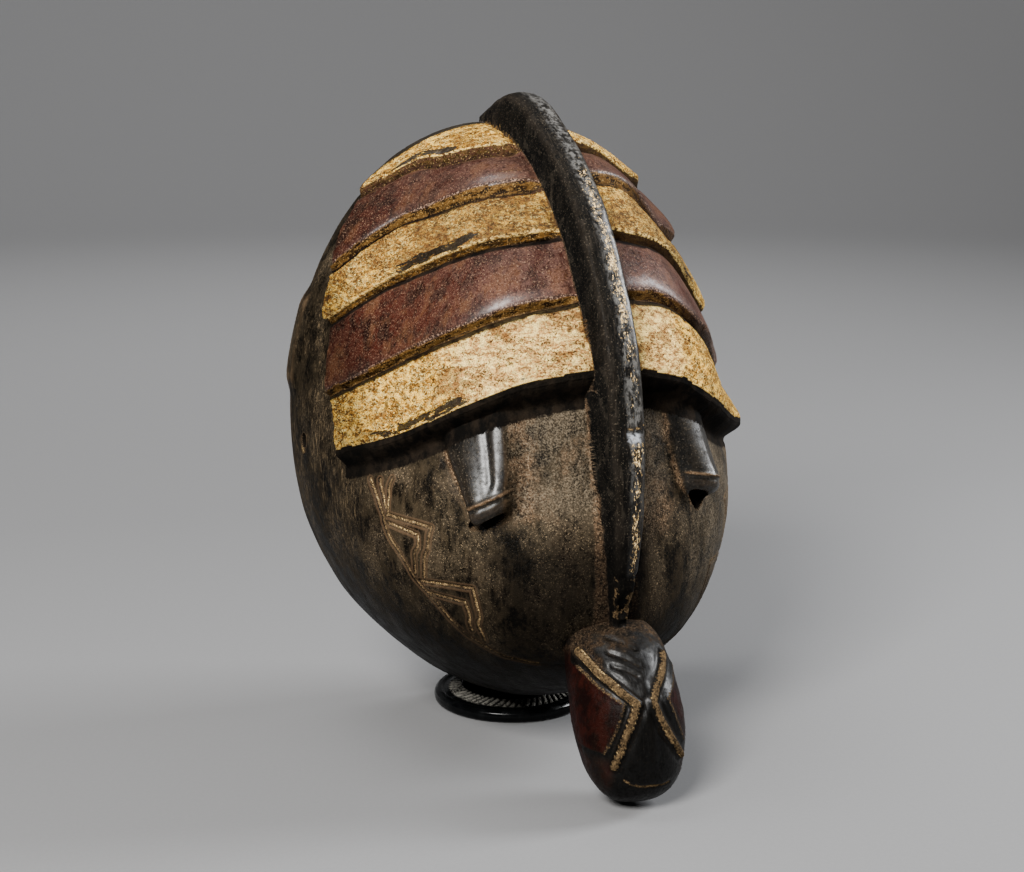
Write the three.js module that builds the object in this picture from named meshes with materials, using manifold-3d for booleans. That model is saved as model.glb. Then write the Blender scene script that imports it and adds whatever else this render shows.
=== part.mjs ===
// Mossi mask: a hollow carved wooden face mask with a banded cap, a tall central bar
// that runs from the back of the crown down the face, and an animal head at its lower end.
// It stands on a small round black base.  Millimetres, +Z up, the face looks along -Y.
import * as THREE from 'three';
import Module from 'manifold-3d';

// Overall body
const RIM_HALF_WIDTH = 110;
const RIM_Y = 25;
const BODY_BOTTOM = 6.5;
const BODY_TOP = 298.5;
const SEAT_Z = 9;
const WALL = 14;

// Front profile of the bare body on the middle plane, height and forward position
const PROFILE_Z = [6.5, 12, 21, 35, 52, 70, 90, 112, 132, 150, 168, 186, 208, 232, 255, 274, 289, 298.5];
const PROFILE_Y = [25, -17, -58, -91, -114, -126, -131, -130, -127.5, -124, -120, -115.5, -107, -93, -75, -51, -19, 25];

// Cap: five bands that overlap like shingles.  Height of each lower edge at even shares
// from the middle plane to the end of the cap, and the angle where the cap ends there.
// The right half of the cap droops sooner than the left
const BAND_SHARES = [0, 0.25, 0.5, 0.75, 1];
const BAND_HEIGHTS_LEFT = [
  [193, 192.2, 184.7, 166.5, 151.2],
  [225, 220, 210.3, 195.6, 175.2],
  [248.5, 245.4, 239.6, 228, 204],
  [271.5, 269, 266.2, 260.2, 231],
  [285, 282.6, 281.2, 279, 263],
];
const BAND_HEIGHTS_RIGHT = [
  [193, 186.3, 171, 158, 149],
  [225, 221.5, 206.2, 192, 171.5],
  [248.5, 245.4, 236, 218.5, 196],
  [271.5, 270.5, 265.3, 252.5, 225],
  [285, 284.5, 281.6, 272, 256],
];
const BAND_END = [64, 71, 74, 78, 83];
const CAP_TOP_END = 86;
const BAND_EDGE = [13, 9.5, 9, 8.5, 8];
const BAND_VALLEY = [5.5, 5, 4.5, 4.5, 5];
const BAND_STEP = 2.2;
const CROWN_RELIEF = -0.5;
const BROW_CHAMFER = 11;
const BROW_ROUND = 1.5;
const CAP_END_THIN = 0.3;
const CAP_END_STEP = 1.3;
const TEMPLE_HOLLOW = 11;
const CHEEK_FULL = 4;
const JAW_NARROW = 0.035;
const CHIN_NARROW = 0.07;
const LIP_PROUD = 2.6;
const HOLLOW_REACH = 20;

// Middle bar: crest line on the middle plane (forward position, height), half widths and depth
const CREST_Y = [26, 12, 0, -13, -34, -50, -70, -88, -101, -110, -118, -127, -132.5, -136.5, -140,
  -142.5, -145, -146.5, -146, -144.5, -142.5, -139, -136];
const CREST_Z = [302, 307, 311.3, 313.8, 309.2, 301.4, 289.8, 276, 264, 253, 241, 226, 214, 203, 190,
  176, 160, 145, 128, 114, 101, 87, 75];
const BAR_HALF = [8, 8.2, 8.4, 8.5, 8.5, 8.5, 8.5, 8.5, 8.5, 8.5, 8.5, 8.5, 8.6, 8.7, 8.8,
  8.6, 8.2, 7.6, 7, 6.4, 5.6, 4.6, 3.6];
const BAR_DEPTH = 30;

// Animal head at the lower end of the bar: stations from crown to muzzle
const HEAD_Z = [80, 77, 71, 62, 51, 40, 29, 19, 11, 5.6, 2.6];
const HEAD_FRONT = [-131, -140, -151, -160.5, -167, -170.5, -172, -171.5, -168.5, -163.5, -157];
const HEAD_BACK = [-122, -112, -107, -109, -115, -121, -127, -133, -140, -146, -153];
const HEAD_HALF = [7, 16, 21.5, 23.5, 25, 25.5, 25, 23, 19, 13.5, 5];

// Eyes: a hood under the brow that ends in a lid, and a sight slot under each lid
const EYE_X_LEFT = 53.2;
const EYE_X_RIGHT = 48;
const HOOD_TOP_X_LEFT = 57;
const HOOD_TOP_X_RIGHT = 48;
const HOOD_TOP_Z = 178;
const LID_Z_LEFT = 133.5;
const LID_Z_RIGHT = 137.5;
const LID_SLANT_LEFT = 0.6;
const LID_SLANT_RIGHT = 0.35;
const HOOD_HALF_TOP = 12.8;
const HOOD_HALF_LID = 11;
const LID_PROUD = 12;
const SLOT_DROP = 7;
const SLOT_HALF_WIDTH = 6.6;
const SLOT_HALF_HEIGHT = 3.8;
const SLOT_START = [-132, -1];
const SLOT_FINISH = [-70, 4];

// Holes near the rim for the fixing cord
const SIDE_HOLE_Y = 3;
const SIDE_HOLE_Z = 146;
const SIDE_HOLE_RADIUS = 2;
const SIDE_HOLE_FROM = 80;
const SIDE_HOLE_TO = 130;

// Base
const BASE_RADIUS = 40.5;
const BASE_TOP = 8.7;

const DEG = Math.PI / 180;
const lerp = (a, b, t) => a + (b - a) * t;
const clamp01 = (t) => Math.min(1, Math.max(0, t));
const smooth = (t) => clamp01(t) ** 2 * (3 - 2 * clamp01(t));

// Monotone cubic through the points xs, ys
function curve(xs, ys) {
  const n = xs.length;
  const slopes = [];
  for (let i = 0; i < n - 1; i++) {
    slopes.push((ys[i + 1] - ys[i]) / (xs[i + 1] - xs[i]));
  }
  const tangents = [slopes[0]];
  for (let i = 1; i < n - 1; i++) {
    const same = slopes[i - 1] * slopes[i] > 0;
    tangents.push(same ? (2 * slopes[i - 1] * slopes[i]) / (slopes[i - 1] + slopes[i]) : 0);
  }
  tangents.push(slopes[n - 2]);
  return (x) => {
    let i = 0;
    while (i < n - 2 && x > xs[i + 1]) {
      i += 1;
    }
    const h = xs[i + 1] - xs[i];
    const t = clamp01((x - xs[i]) / h);
    const a = (1 + 2 * t) * (1 - t) ** 2 * ys[i];
    const b = t * (1 - t) ** 2 * h * tangents[i];
    const c = t * t * (3 - 2 * t) * ys[i + 1];
    const d = t * t * (t - 1) * h * tangents[i + 1];
    return a + b + c + d;
  };
}

const MID_Z = (BODY_BOTTOM + BODY_TOP) / 2;
const HALF_Z = (BODY_TOP - BODY_BOTTOM) / 2;
const levelRound = (z) => Math.sqrt(Math.max(0, 1 - ((z - MID_Z) / HALF_Z) ** 2));

// Depth of the body divided by the roundness of its level, so that the poles stay round
const depthRatio = curve(
  PROFILE_Z.map((z) => (z - MID_Z) / HALF_Z),
  PROFILE_Z.map((z, i) => {
    const j = i === 0 ? 1 : i === PROFILE_Z.length - 1 ? i - 1 : i;
    return (RIM_Y - PROFILE_Y[j]) / levelRound(PROFILE_Z[j]);
  }),
);

function bodyPoint(angle, z, inset = 0) {
  const bottom = BODY_BOTTOM + inset;
  const top = BODY_TOP - inset;
  const t = (z - (bottom + top) / 2) / ((top - bottom) / 2);
  const round = Math.sqrt(Math.max(0, 1 - t * t));
  const jaw = 1 - JAW_NARROW * smooth((112 - z) / 60) - CHIN_NARROW * smooth((66 - z) / 44);
  const half = (RIM_HALF_WIDTH * jaw - inset) * round;
  const depth = (depthRatio(t) - inset) * round;
  return new THREE.Vector3(half * Math.sin(angle), RIM_Y - depth * Math.cos(angle), z);
}

function bodyNormal(angle, z) {
  const safe = Math.min(BODY_TOP - 1.5, Math.max(BODY_BOTTOM + 1.5, z));
  const across = bodyPoint(angle + 0.002, safe).sub(bodyPoint(angle - 0.002, safe));
  const up = bodyPoint(angle, safe + 0.4).sub(bodyPoint(angle, safe - 0.4));
  return across.cross(up).normalize();
}

// Fuller cheeks below and a shallow hollow at the temples beside the cap
function fullness(angle, z) {
  const degrees = Math.abs(angle) / DEG;
  const cheek = CHEEK_FULL * Math.sin(2 * angle) ** 2 * smooth((z - 30) / 40) * smooth((150 - z) / 40);
  const across = smooth((degrees - 22) / 34) * smooth((92 - degrees) / 34);
  return cheek - TEMPLE_HOLLOW * across * smooth((z - 136) / 40) * smooth((300 - z) / 50);
}

// Raised lip along the rim beside the crown
function lip(angle, z) {
  const edge = smooth((Math.abs(angle) / DEG - 84) / 2.5);
  return LIP_PROUD * edge * smooth((z - 165) / 12) * smooth((222 - z) / 12);
}

const leftCurves = BAND_HEIGHTS_LEFT.map((heights) => curve(BAND_SHARES, heights));
const rightCurves = BAND_HEIGHTS_RIGHT.map((heights) => curve(BAND_SHARES, heights));

function bandLine(k, angle) {
  const curves = angle < 0 ? leftCurves : rightCurves;
  return curves[k](Math.min(Math.abs(angle) / DEG / BAND_END[k], 1));
}

function surfacePoint(angle, z, relief) {
  const p = bodyPoint(angle, z);
  p.addScaledVector(bodyNormal(angle, z), relief + fullness(angle, z) + lip(angle, z));
  p.z = Math.max(p.z, SEAT_Z);
  return p;
}

// Rows of the outside, from the lowest point to the top: height at an angle, relief, cap end
function outsideRows() {
  const rows = [];
  const faceRows = 15;
  for (let i = 1; i <= faceRows; i++) {
    const share = i / faceRows;
    rows.push({
      end: BAND_END[0],
      relief: 0,
      height: (angle) => {
        const top = (bandLine(0, angle) - BROW_CHAMFER - MID_Z) / HALF_Z;
        const start = -Math.PI / 2;
        const level = lerp(start, Math.asin(top), share);
        return MID_Z + HALF_Z * Math.sin(level);
      },
    });
  }
  rows.push({
    end: BAND_END[0],
    relief: BAND_EDGE[0] - BROW_ROUND,
    height: (angle) => bandLine(0, angle) - BROW_ROUND,
  });
  for (let k = 0; k < 5; k++) {
    rows.push({ end: BAND_END[k], relief: BAND_EDGE[k], height: (angle) => bandLine(k, angle) });
    if (k < 4) {
      const steps = k === 0 ? [0.3, 0.6] : [0.5];
      for (const f of steps) {
        rows.push({
          end: lerp(BAND_END[k], BAND_END[k + 1], f),
          relief: lerp(BAND_EDGE[k], BAND_VALLEY[k], f),
          height: (angle) => lerp(bandLine(k, angle), bandLine(k + 1, angle), f),
        });
      }
      rows.push({
        end: BAND_END[k + 1],
        relief: BAND_VALLEY[k],
        height: (angle) => bandLine(k + 1, angle) - BAND_STEP,
      });
    }
  }
  const topRows = 5;
  for (let i = 1; i < topRows; i++) {
    const share = i / topRows;
    rows.push({
      end: lerp(BAND_END[4], CAP_TOP_END, share),
      relief: lerp(BAND_EDGE[4], CROWN_RELIEF, share),
      height: (angle) => {
        const start = Math.asin((bandLine(4, angle) - MID_Z) / HALF_Z);
        return MID_Z + HALF_Z * Math.sin(lerp(start, Math.PI / 2, share));
      },
    });
  }
  return rows;
}

// Columns of one side as shares of the cap and of the black side strip
const CAP_COLUMNS = [0, 0.09, 0.18, 0.28, 0.38, 0.48, 0.58, 0.68, 0.78, 0.87, 0.94, 1];
const STRIP_COLUMNS = [0, 0.2, 0.42, 0.62, 0.8, 0.92, 1];

function columnAngles(end) {
  const side = [];
  for (const c of CAP_COLUMNS) {
    side.push({ angle: c * end, onCap: true });
  }
  for (const c of STRIP_COLUMNS) {
    side.push({ angle: lerp(end + CAP_END_STEP, 90, c), onCap: false });
  }
  const left = side.slice(1).reverse().map((q) => ({ angle: -q.angle, onCap: q.onCap }));
  return left.concat(side);
}

// Closed triangle mesh from a grid of points, with a point at each end of the rows
function gridSolid(rows, bottom, top) {
  const points = [bottom];
  const count = rows[0].length;
  for (const row of rows) {
    points.push(...row);
  }
  points.push(top);
  const last = points.length - 1;
  const triangles = [];
  const at = (r, c) => 1 + r * count + (c % count);
  for (let c = 0; c < count; c++) {
    triangles.push([0, at(0, c + 1), at(0, c)]);
    triangles.push([last, at(rows.length - 1, c), at(rows.length - 1, c + 1)]);
    for (let r = 0; r < rows.length - 1; r++) {
      triangles.push([at(r, c), at(r, c + 1), at(r + 1, c)]);
      triangles.push([at(r, c + 1), at(r + 1, c + 1), at(r + 1, c)]);
    }
  }
  return { points, triangles };
}

const wasm = await Module();
wasm.setup();

function toManifold({ points, triangles }) {
  const keys = new Map();
  const index = [];
  const verts = [];
  for (const p of points) {
    const key = `${p.x.toFixed(4)},${p.y.toFixed(4)},${p.z.toFixed(4)}`;
    if (!keys.has(key)) {
      keys.set(key, verts.length / 3);
      verts.push(p.x, p.y, p.z);
    }
    index.push(keys.get(key));
  }
  const tris = [];
  for (const [a, b, c] of triangles) {
    const ia = index[a];
    const ib = index[b];
    const ic = index[c];
    if (ia !== ib && ib !== ic && ic !== ia) {
      tris.push(ia, ib, ic);
    }
  }
  const build = (list) => new wasm.Manifold(
    new wasm.Mesh({
      numProp: 3,
      vertProperties: new Float32Array(verts),
      triVerts: new Uint32Array(list),
    }),
  );
  const solid = build(tris);
  if (solid.volume() < 0) {
    return build(tris.reverse());
  }
  return solid;
}

// Outside of the body, closed by a flat back on the rim plane
function bodySolid() {
  const rows = outsideRows().map((row) => {
    const ring = columnAngles(row.end).map(({ angle, onCap }) => {
      const a = angle * DEG;
      const share = Math.abs(angle) / row.end;
      return surfacePoint(a, row.height(a), onCap ? row.relief * (1 - CAP_END_THIN * share ** 4) : 0);
    });
    const first = ring[0];
    const end = ring[ring.length - 1];
    const backs = [];
    for (let i = 1; i < 4; i++) {
      backs.push(new THREE.Vector3(lerp(end.x, first.x, i / 4), RIM_Y, lerp(end.z, first.z, i / 4)));
    }
    return ring.concat(backs);
  });
  const bottom = new THREE.Vector3(0, RIM_Y, SEAT_Z);
  const top = new THREE.Vector3(0, RIM_Y, BODY_TOP + CROWN_RELIEF);
  return toManifold(gridSolid(rows, bottom, top));
}

// Hollow of the body, carried past the rim so that it opens at the back
function hollowSolid() {
  const rows = [];
  const count = 15;
  const low = BODY_BOTTOM + WALL;
  const high = BODY_TOP - WALL;
  for (let i = 1; i < count; i++) {
    const z = (low + high) / 2 - ((high - low) / 2) * Math.cos((Math.PI * i) / count);
    const ring = [];
    for (let j = 0; j <= 20; j++) {
      ring.push(bodyPoint((-90 + 9 * j) * DEG, z, WALL));
    }
    const half = ring[20].x;
    ring.push(new THREE.Vector3(half, RIM_Y + HOLLOW_REACH, z));
    ring.push(new THREE.Vector3(0, RIM_Y + HOLLOW_REACH, z));
    ring.push(new THREE.Vector3(-half, RIM_Y + HOLLOW_REACH, z));
    rows.push(ring);
  }
  const bottom = new THREE.Vector3(0, RIM_Y + HOLLOW_REACH / 2, low);
  const top = new THREE.Vector3(0, RIM_Y + HOLLOW_REACH / 2, high);
  return toManifold(gridSolid(rows, bottom, top));
}

// Bar: a rounded section carried along the crest line
function barSolid() {
  const n = CREST_Y.length;
  const rows = [];
  for (let i = 0; i < n; i++) {
    const before = Math.max(0, i - 1);
    const after = Math.min(n - 1, i + 1);
    const ty = CREST_Y[after] - CREST_Y[before];
    const tz = CREST_Z[after] - CREST_Z[before];
    const length = Math.hypot(ty, tz);
    const out = new THREE.Vector3(0, tz / length, -ty / length);
    if (i < 3 ? out.z < 0 : out.y > 0) {
      out.negate();
    }
    const w = BAR_HALF[i];
    const profile = [
      [w + 0.8, -BAR_DEPTH],
      [w + 0.4, -14],
      [w, -7],
      [w * 0.86, -2.6],
      [w * 0.5, -0.6],
      [0, 0],
      [-w * 0.5, -0.6],
      [-w * 0.86, -2.6],
      [-w, -7],
      [-w - 0.4, -14],
      [-w - 0.8, -BAR_DEPTH],
    ];
    rows.push(profile.map(([x, h]) => new THREE.Vector3(
      x,
      i === 0 ? CREST_Y[i] : CREST_Y[i] + out.y * h,
      CREST_Z[i] + out.z * h,
    )));
  }
  const middle = (row) => row.reduce((s, p) => s.add(p), new THREE.Vector3()).multiplyScalar(1 / row.length);
  return toManifold(gridSolid(rows, middle(rows[0]), middle(rows[n - 1])));
}

// Head: level sections, rounded in front, flatter behind
function headSolid() {
  const rows = HEAD_Z.map((z, i) => {
    const ring = [];
    const widest = lerp(HEAD_FRONT[i], HEAD_BACK[i], 0.52);
    for (let j = 0; j < 24; j++) {
      const a = (j / 24) * 2 * Math.PI;
      const s = Math.sin(a);
      const c = Math.cos(a);
      const reach = c > 0 ? widest - HEAD_FRONT[i] : HEAD_BACK[i] - widest;
      const bulge = c > 0 ? Math.abs(c) ** 1.15 : Math.abs(c) ** 0.8;
      ring.push(new THREE.Vector3(
        -HEAD_HALF[i] * Math.sign(s) * Math.abs(s) ** 0.92,
        widest - Math.sign(c) * reach * bulge,
        z,
      ));
    }
    return ring;
  });
  const n = rows.length - 1;
  const end = (i, dz) => new THREE.Vector3(0, lerp(HEAD_FRONT[i], HEAD_BACK[i], 0.5), HEAD_Z[i] + dz);
  return toManifold(gridSolid(rows, end(0, 1), end(n, -0.5)));
}

// Angle on the body where the bare surface stands at a given distance from the middle plane
function angleAt(x, z) {
  return Math.asin(x / (RIM_HALF_WIDTH * levelRound(z)));
}

// Hood of one eye, carried from under the brow down to the slanting lid
function hoodSolid(side) {
  const lid = side < 0 ? LID_Z_LEFT : LID_Z_RIGHT;
  const slant = side < 0 ? LID_SLANT_LEFT : LID_SLANT_RIGHT;
  const eyeX = side < 0 ? EYE_X_LEFT : EYE_X_RIGHT;
  const topX = side < 0 ? HOOD_TOP_X_LEFT : HOOD_TOP_X_RIGHT;
  const levels = [
    [1, 4, HOOD_HALF_TOP],
    [0.72, 5.5, HOOD_HALF_TOP],
    [0.45, 7.5, HOOD_HALF_TOP - 0.3],
    [0.22, 9.5, HOOD_HALF_TOP - 0.7],
    [0.06, LID_PROUD, HOOD_HALF_LID],
    [0, LID_PROUD - 2.2, HOOD_HALF_LID - 0.4],
    [-0.06, LID_PROUD - 3.6, HOOD_HALF_LID - 1.6],
    [-0.11, LID_PROUD - 6, HOOD_HALF_LID - 3],
    [-0.17, 1, HOOD_HALF_LID - 5.5],
  ];
  const rows = levels.map(([share, proud, half]) => {
    const ring = [];
    const steps = 10;
    const middleX = lerp(eyeX, topX, share);
    const place = (u, h) => {
      const z = lerp(lid, HOOD_TOP_Z, share) - slant * u * half;
      const a = angleAt(middleX + u * half, z);
      return bodyPoint(a, z).addScaledVector(bodyNormal(a, z), h + fullness(a, z));
    };
    for (let j = 0; j <= steps; j++) {
      const u = -1 + (2 * j) / steps;
      const round = (1 - Math.min(1, Math.abs(u) ** 2.2)) ** 0.6;
      ring.push(place(u, proud * round + 0.2));
    }
    ring.push(place(0.9, -6));
    ring.push(place(0, -6));
    ring.push(place(-0.9, -6));
    if (side < 0) {
      for (const p of ring) {
        p.x = -p.x;
      }
      ring.reverse();
    }
    return ring;
  });
  rows.reverse();
  const middle = (row) => row.reduce((s, p) => s.add(p), new THREE.Vector3()).multiplyScalar(1 / row.length);
  return toManifold(gridSolid(rows, middle(rows[0]), middle(rows[rows.length - 1])));
}

function slotSolid(side) {
  const slotZ = (side < 0 ? LID_Z_LEFT : LID_Z_RIGHT) - SLOT_DROP;
  const slant = side < 0 ? LID_SLANT_LEFT : LID_SLANT_RIGHT;
  const eyeX = side < 0 ? EYE_X_LEFT : EYE_X_RIGHT;
  const rows = [];
  for (const [y, lift] of [SLOT_START, SLOT_FINISH]) {
    const ring = [];
    for (let j = 0; j < 14; j++) {
      const a = (j / 14) * 2 * Math.PI;
      const across = SLOT_HALF_WIDTH * Math.cos(a);
      ring.push(new THREE.Vector3(
        side * (eyeX + across),
        y,
        slotZ + lift + SLOT_HALF_HEIGHT * Math.sin(a) - slant * across,
      ));
    }
    rows.push(ring);
  }
  return toManifold(gridSolid(
    rows,
    new THREE.Vector3(side * eyeX, SLOT_START[0], slotZ + SLOT_START[1]),
    new THREE.Vector3(side * eyeX, SLOT_FINISH[0], slotZ + SLOT_FINISH[1]),
  ));
}

function sideHoleSolid(side) {
  const rows = [];
  for (const x of [SIDE_HOLE_FROM, SIDE_HOLE_TO]) {
    const ring = [];
    for (let j = 0; j < 12; j++) {
      const a = (j / 12) * 2 * Math.PI * side;
      ring.push(new THREE.Vector3(
        side * x,
        SIDE_HOLE_Y + SIDE_HOLE_RADIUS * Math.cos(a),
        SIDE_HOLE_Z + SIDE_HOLE_RADIUS * Math.sin(a),
      ));
    }
    rows.push(ring);
  }
  return toManifold(gridSolid(
    rows,
    new THREE.Vector3(side * SIDE_HOLE_FROM, SIDE_HOLE_Y, SIDE_HOLE_Z),
    new THREE.Vector3(side * SIDE_HOLE_TO, SIDE_HOLE_Y, SIDE_HOLE_Z),
  ));
}

function positive(solid, name) {
  if (solid.status() !== 'NoError' && solid.status() !== 0) {
    throw new Error(`${name}: ${solid.status()}`);
  }
  if (solid.volume() <= 0) {
    throw new Error(`${name} is inside out`);
  }
  return solid;
}

let mask = positive(bodySolid(), 'body');
for (const side of [-1, 1]) {
  mask = mask.add(positive(hoodSolid(side), 'hood'));
}
mask = mask.add(positive(headSolid(), 'head'));
const hollow = positive(hollowSolid(), 'hollow');
mask = mask.add(positive(barSolid(), 'bar')).subtract(hollow);
for (const side of [-1, 1]) {
  mask = mask.subtract(positive(slotSolid(side), 'slot'));
  mask = mask.subtract(positive(sideHoleSolid(side), 'side hole'));
}

function toGeometry(solid) {
  const mesh = solid.getMesh();
  const indexed = new THREE.BufferGeometry();
  indexed.setAttribute('position', new THREE.BufferAttribute(new Float32Array(mesh.vertProperties), 3));
  indexed.setIndex(new THREE.BufferAttribute(new Uint32Array(mesh.triVerts), 1));
  const flat = indexed.toNonIndexed();
  flat.computeVertexNormals();
  return flat;
}

// Base: turned disc with a rounded lip, a sloping ring and a flat seat
const baseProfile = [
  [0, 0],
  [38.6, 0],
  [40.1, 1.2],
  [BASE_RADIUS, 3.2],
  [40.1, 5.2],
  [38.6, 6.6],
  [36.8, 6.7],
  [35.6, 5.7],
  [33.2, 6.2],
  [26.5, BASE_TOP - 0.6],
  [25, BASE_TOP],
  [0, BASE_TOP],
].map(([r, z]) => new THREE.Vector2(r, z));
const baseGeometry = new THREE.LatheGeometry(baseProfile, 56);
baseGeometry.rotateX(Math.PI / 2);

const group = new THREE.Group();
group.name = 'mossi_mask';

const maskMesh = new THREE.Mesh(
  toGeometry(mask),
  new THREE.MeshStandardMaterial({ name: 'carved_wood', color: 0x2a211b, roughness: 0.6 }),
);
maskMesh.name = 'mask';
group.add(maskMesh);

const baseMesh = new THREE.Mesh(
  baseGeometry,
  new THREE.MeshStandardMaterial({ name: 'black_base', color: 0x0c0c0d, roughness: 0.3 }),
);
baseMesh.name = 'stand_base';
group.add(baseMesh);

export default group;
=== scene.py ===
"""Mossi mask: a hollow carved wooden mask with a banded cap, a tall middle bar and an animal head,
on a small round black base.  Shapes are worked out in millimetres and set down in metres."""

import bpy
import math
import numpy as np
from mathutils import Matrix, Vector


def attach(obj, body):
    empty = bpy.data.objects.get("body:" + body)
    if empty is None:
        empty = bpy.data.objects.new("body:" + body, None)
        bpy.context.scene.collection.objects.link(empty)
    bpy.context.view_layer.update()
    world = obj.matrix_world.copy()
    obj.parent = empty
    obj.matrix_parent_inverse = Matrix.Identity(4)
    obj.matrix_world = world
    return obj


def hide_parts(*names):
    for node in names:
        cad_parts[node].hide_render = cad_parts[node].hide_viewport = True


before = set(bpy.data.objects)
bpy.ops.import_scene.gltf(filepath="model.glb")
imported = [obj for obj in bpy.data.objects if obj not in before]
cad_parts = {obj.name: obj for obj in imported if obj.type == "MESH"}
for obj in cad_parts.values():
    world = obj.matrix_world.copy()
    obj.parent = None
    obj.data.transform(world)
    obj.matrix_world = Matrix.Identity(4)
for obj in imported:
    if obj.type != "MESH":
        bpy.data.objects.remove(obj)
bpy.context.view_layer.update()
MM = 0.001

# Signs of the two sides, a distance that stands for none, a shift that keeps the noise off its
# seams, and how many points are compared at a time
SIDES = LEFT, RIGHT = -1, 1
FAR = 99.0
NOISE_SHIFT = 37.17
CHUNK = 4000

# Body
RIM_HALF_WIDTH, RIM_Y = 110.0, 25.0
BODY_BOTTOM, BODY_TOP, SEAT_Z, WALL = 6.5, 298.5, 9.0, 14.0
PROFILE_Z = [6.5, 12, 21, 35, 52, 70, 90, 112, 132, 150, 168, 186, 208, 232, 255, 274, 289, 298.5]
PROFILE_Y = [25, -17, -58, -91, -114, -126, -131, -130, -127.5, -124, -120, -115.5, -107, -93, -75,
             -51, -19, 25]
CHEEK_FULL, JAW_NARROW, CHIN_NARROW, TEMPLE_HOLLOW, LIP_PROUD = 4.0, 0.035, 0.07, 11.0, 2.6
RIM_ROUND = 2.2
HOLLOW_ROWS, HOLLOW_AROUND = 62, 58

# Cap of five bands: heights of each lower edge at even shares of the way round, the degrees from the
# middle plane where the band ends, and its relief at the lower edge and under the next band
BANDS = 5
BAND_SHARES = [0, 0.25, 0.5, 0.75, 1]
LEFT_HEIGHTS = [
    [193, 189.5, 178.3, 162.5, 150],
    [225, 220, 210.3, 195.6, 175.2],
    [251.3, 248.8, 243.5, 234.3, 207.5],
    [271.5, 269, 266.2, 260.2, 231],
    [286, 283.5, 282.1, 279.9, 263.5],
]
RIGHT_HEIGHTS = [
    [193, 186.3, 171, 158, 149],
    [225, 221.5, 206.2, 192, 173],
    [251.3, 246, 236, 219, 201.5],
    [271.5, 270.5, 265.3, 253.5, 237],
    [286, 284.8, 281.6, 273.5, 263],
]
BAND_END = [64, 71, 74, 78, 83]
CAP_TOP_END = 86
BAND_EDGE = [13, 9.5, 9, 8.5, 8]
BAND_VALLEY = [5.5, 5, 4.5, 4.5]
CROWN_RELIEF, BROW_CHAMFER, CAP_END_STEP, STEP = -0.5, 11.0, 1.3, 2.2
BROW_ROUND, EDGE_ROUND, LEFT_END_THIN, LEFT_CROWN_FLAT = 1.5, 0.9, 0.25, 1.6
CROWN_PAINT_Y = 13

# Degrees by which the bands reach further round
BAND_LONGER = [0.1, -0.5, 0.5, -0.4, 0.3]

# How far the marks of the lower edges reach, and the slope of each band along which that counts
EDGE_REACH, EDGE_SLOPE = 6.0, [1, 1, 1.1, 1.3, 2.0]

# Spans with more chips: band, first and last degree
CHIPPED_SPANS = [(2, -62, -26), (4, -78, -40), (2, 34, 60), (0, -58, -26)]

# Relief of the cap beside the bar, at some heights
BESIDE_Z, BESIDE = [190, 225, 262, 285, 298.5], [12, 7, 6, 6, -0.5]

# Eyes: hoods with their height, half width and shape across, and the slots under them
HOOD_TOP_Z = 178.0
EYE_X, HOOD_TOP_X = {LEFT: 53.2, RIGHT: 48.0}, {LEFT: 57.0, RIGHT: 44.5}
LID_Z, LID_SLANT = {LEFT: 133.5, RIGHT: 137.5}, {LEFT: 0.6, RIGHT: 0.35}
SLOT_DROP, SLOT_HALF_WIDTH = {LEFT: 6.3, RIGHT: 8.4}, {LEFT: 6.8, RIGHT: 5.2}
SLOT_HALF_HEIGHT, SLOT_OUT = {LEFT: 4.2, RIGHT: 5.8}, {LEFT: 2.0, RIGHT: 0.4}
SLOT_POINTED = {LEFT: 0.0, RIGHT: 0.5}
HOOD_NARROW_TOP = {LEFT: 0.0, RIGHT: 0.2}
HOOD_SHARE = [-0.21, -0.17, -0.11, -0.06, -0.02, 0.03, 0.06, 0.1, 0.22, 0.45, 0.72, 1, 1.3]
HOOD_PROUD = [0, 2.5, 8.4, 10.6, 11.2, 10.8, 12, 11.4, 9.9, 7.7, 5.7, 4, 3]
HOOD_HALF = [4.5, 5.8, 7.6, 8.6, 9.1, 9.5, 9.7, 10.1, 11.3, 12.2, 12.8, 12.8, 12.8]
INNER_U = [0, 0.4, 0.75, 1.0, 1.2, 1.45]
INNER_SHAPE = {LEFT: [1, 0.975, 0.83, 0.5, 0.2, 0], RIGHT: [1, 0.84, 0.58, 0.33, 0.14, 0]}
OUTER_SHARE, OUTER_REACH = [0, 0.1, 0.3, 0.5, 0.7], [0.66, 0.66, 0.76, 0.89, 1]
SLOT_LIFT = [(-140, -1.6), (-132, -1), (-110, 0.9), (-70, 4)]

# Cord holes near the rim, with the radius at some places across, and a pale chip below the left one
SIDE_X, SIDE_HOLE_Y, SIDE_HOLE_Z = 90, 3, 146
SIDE_HOLE_RADII = [(80, 2.2), (104, 2.2), (107.2, 2.5), (109.0, 3.2), (113, 4.6), (130, 4.8)]
PALE_CHIP_Y, PALE_CHIP_Z = 4.5, 141.6

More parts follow.
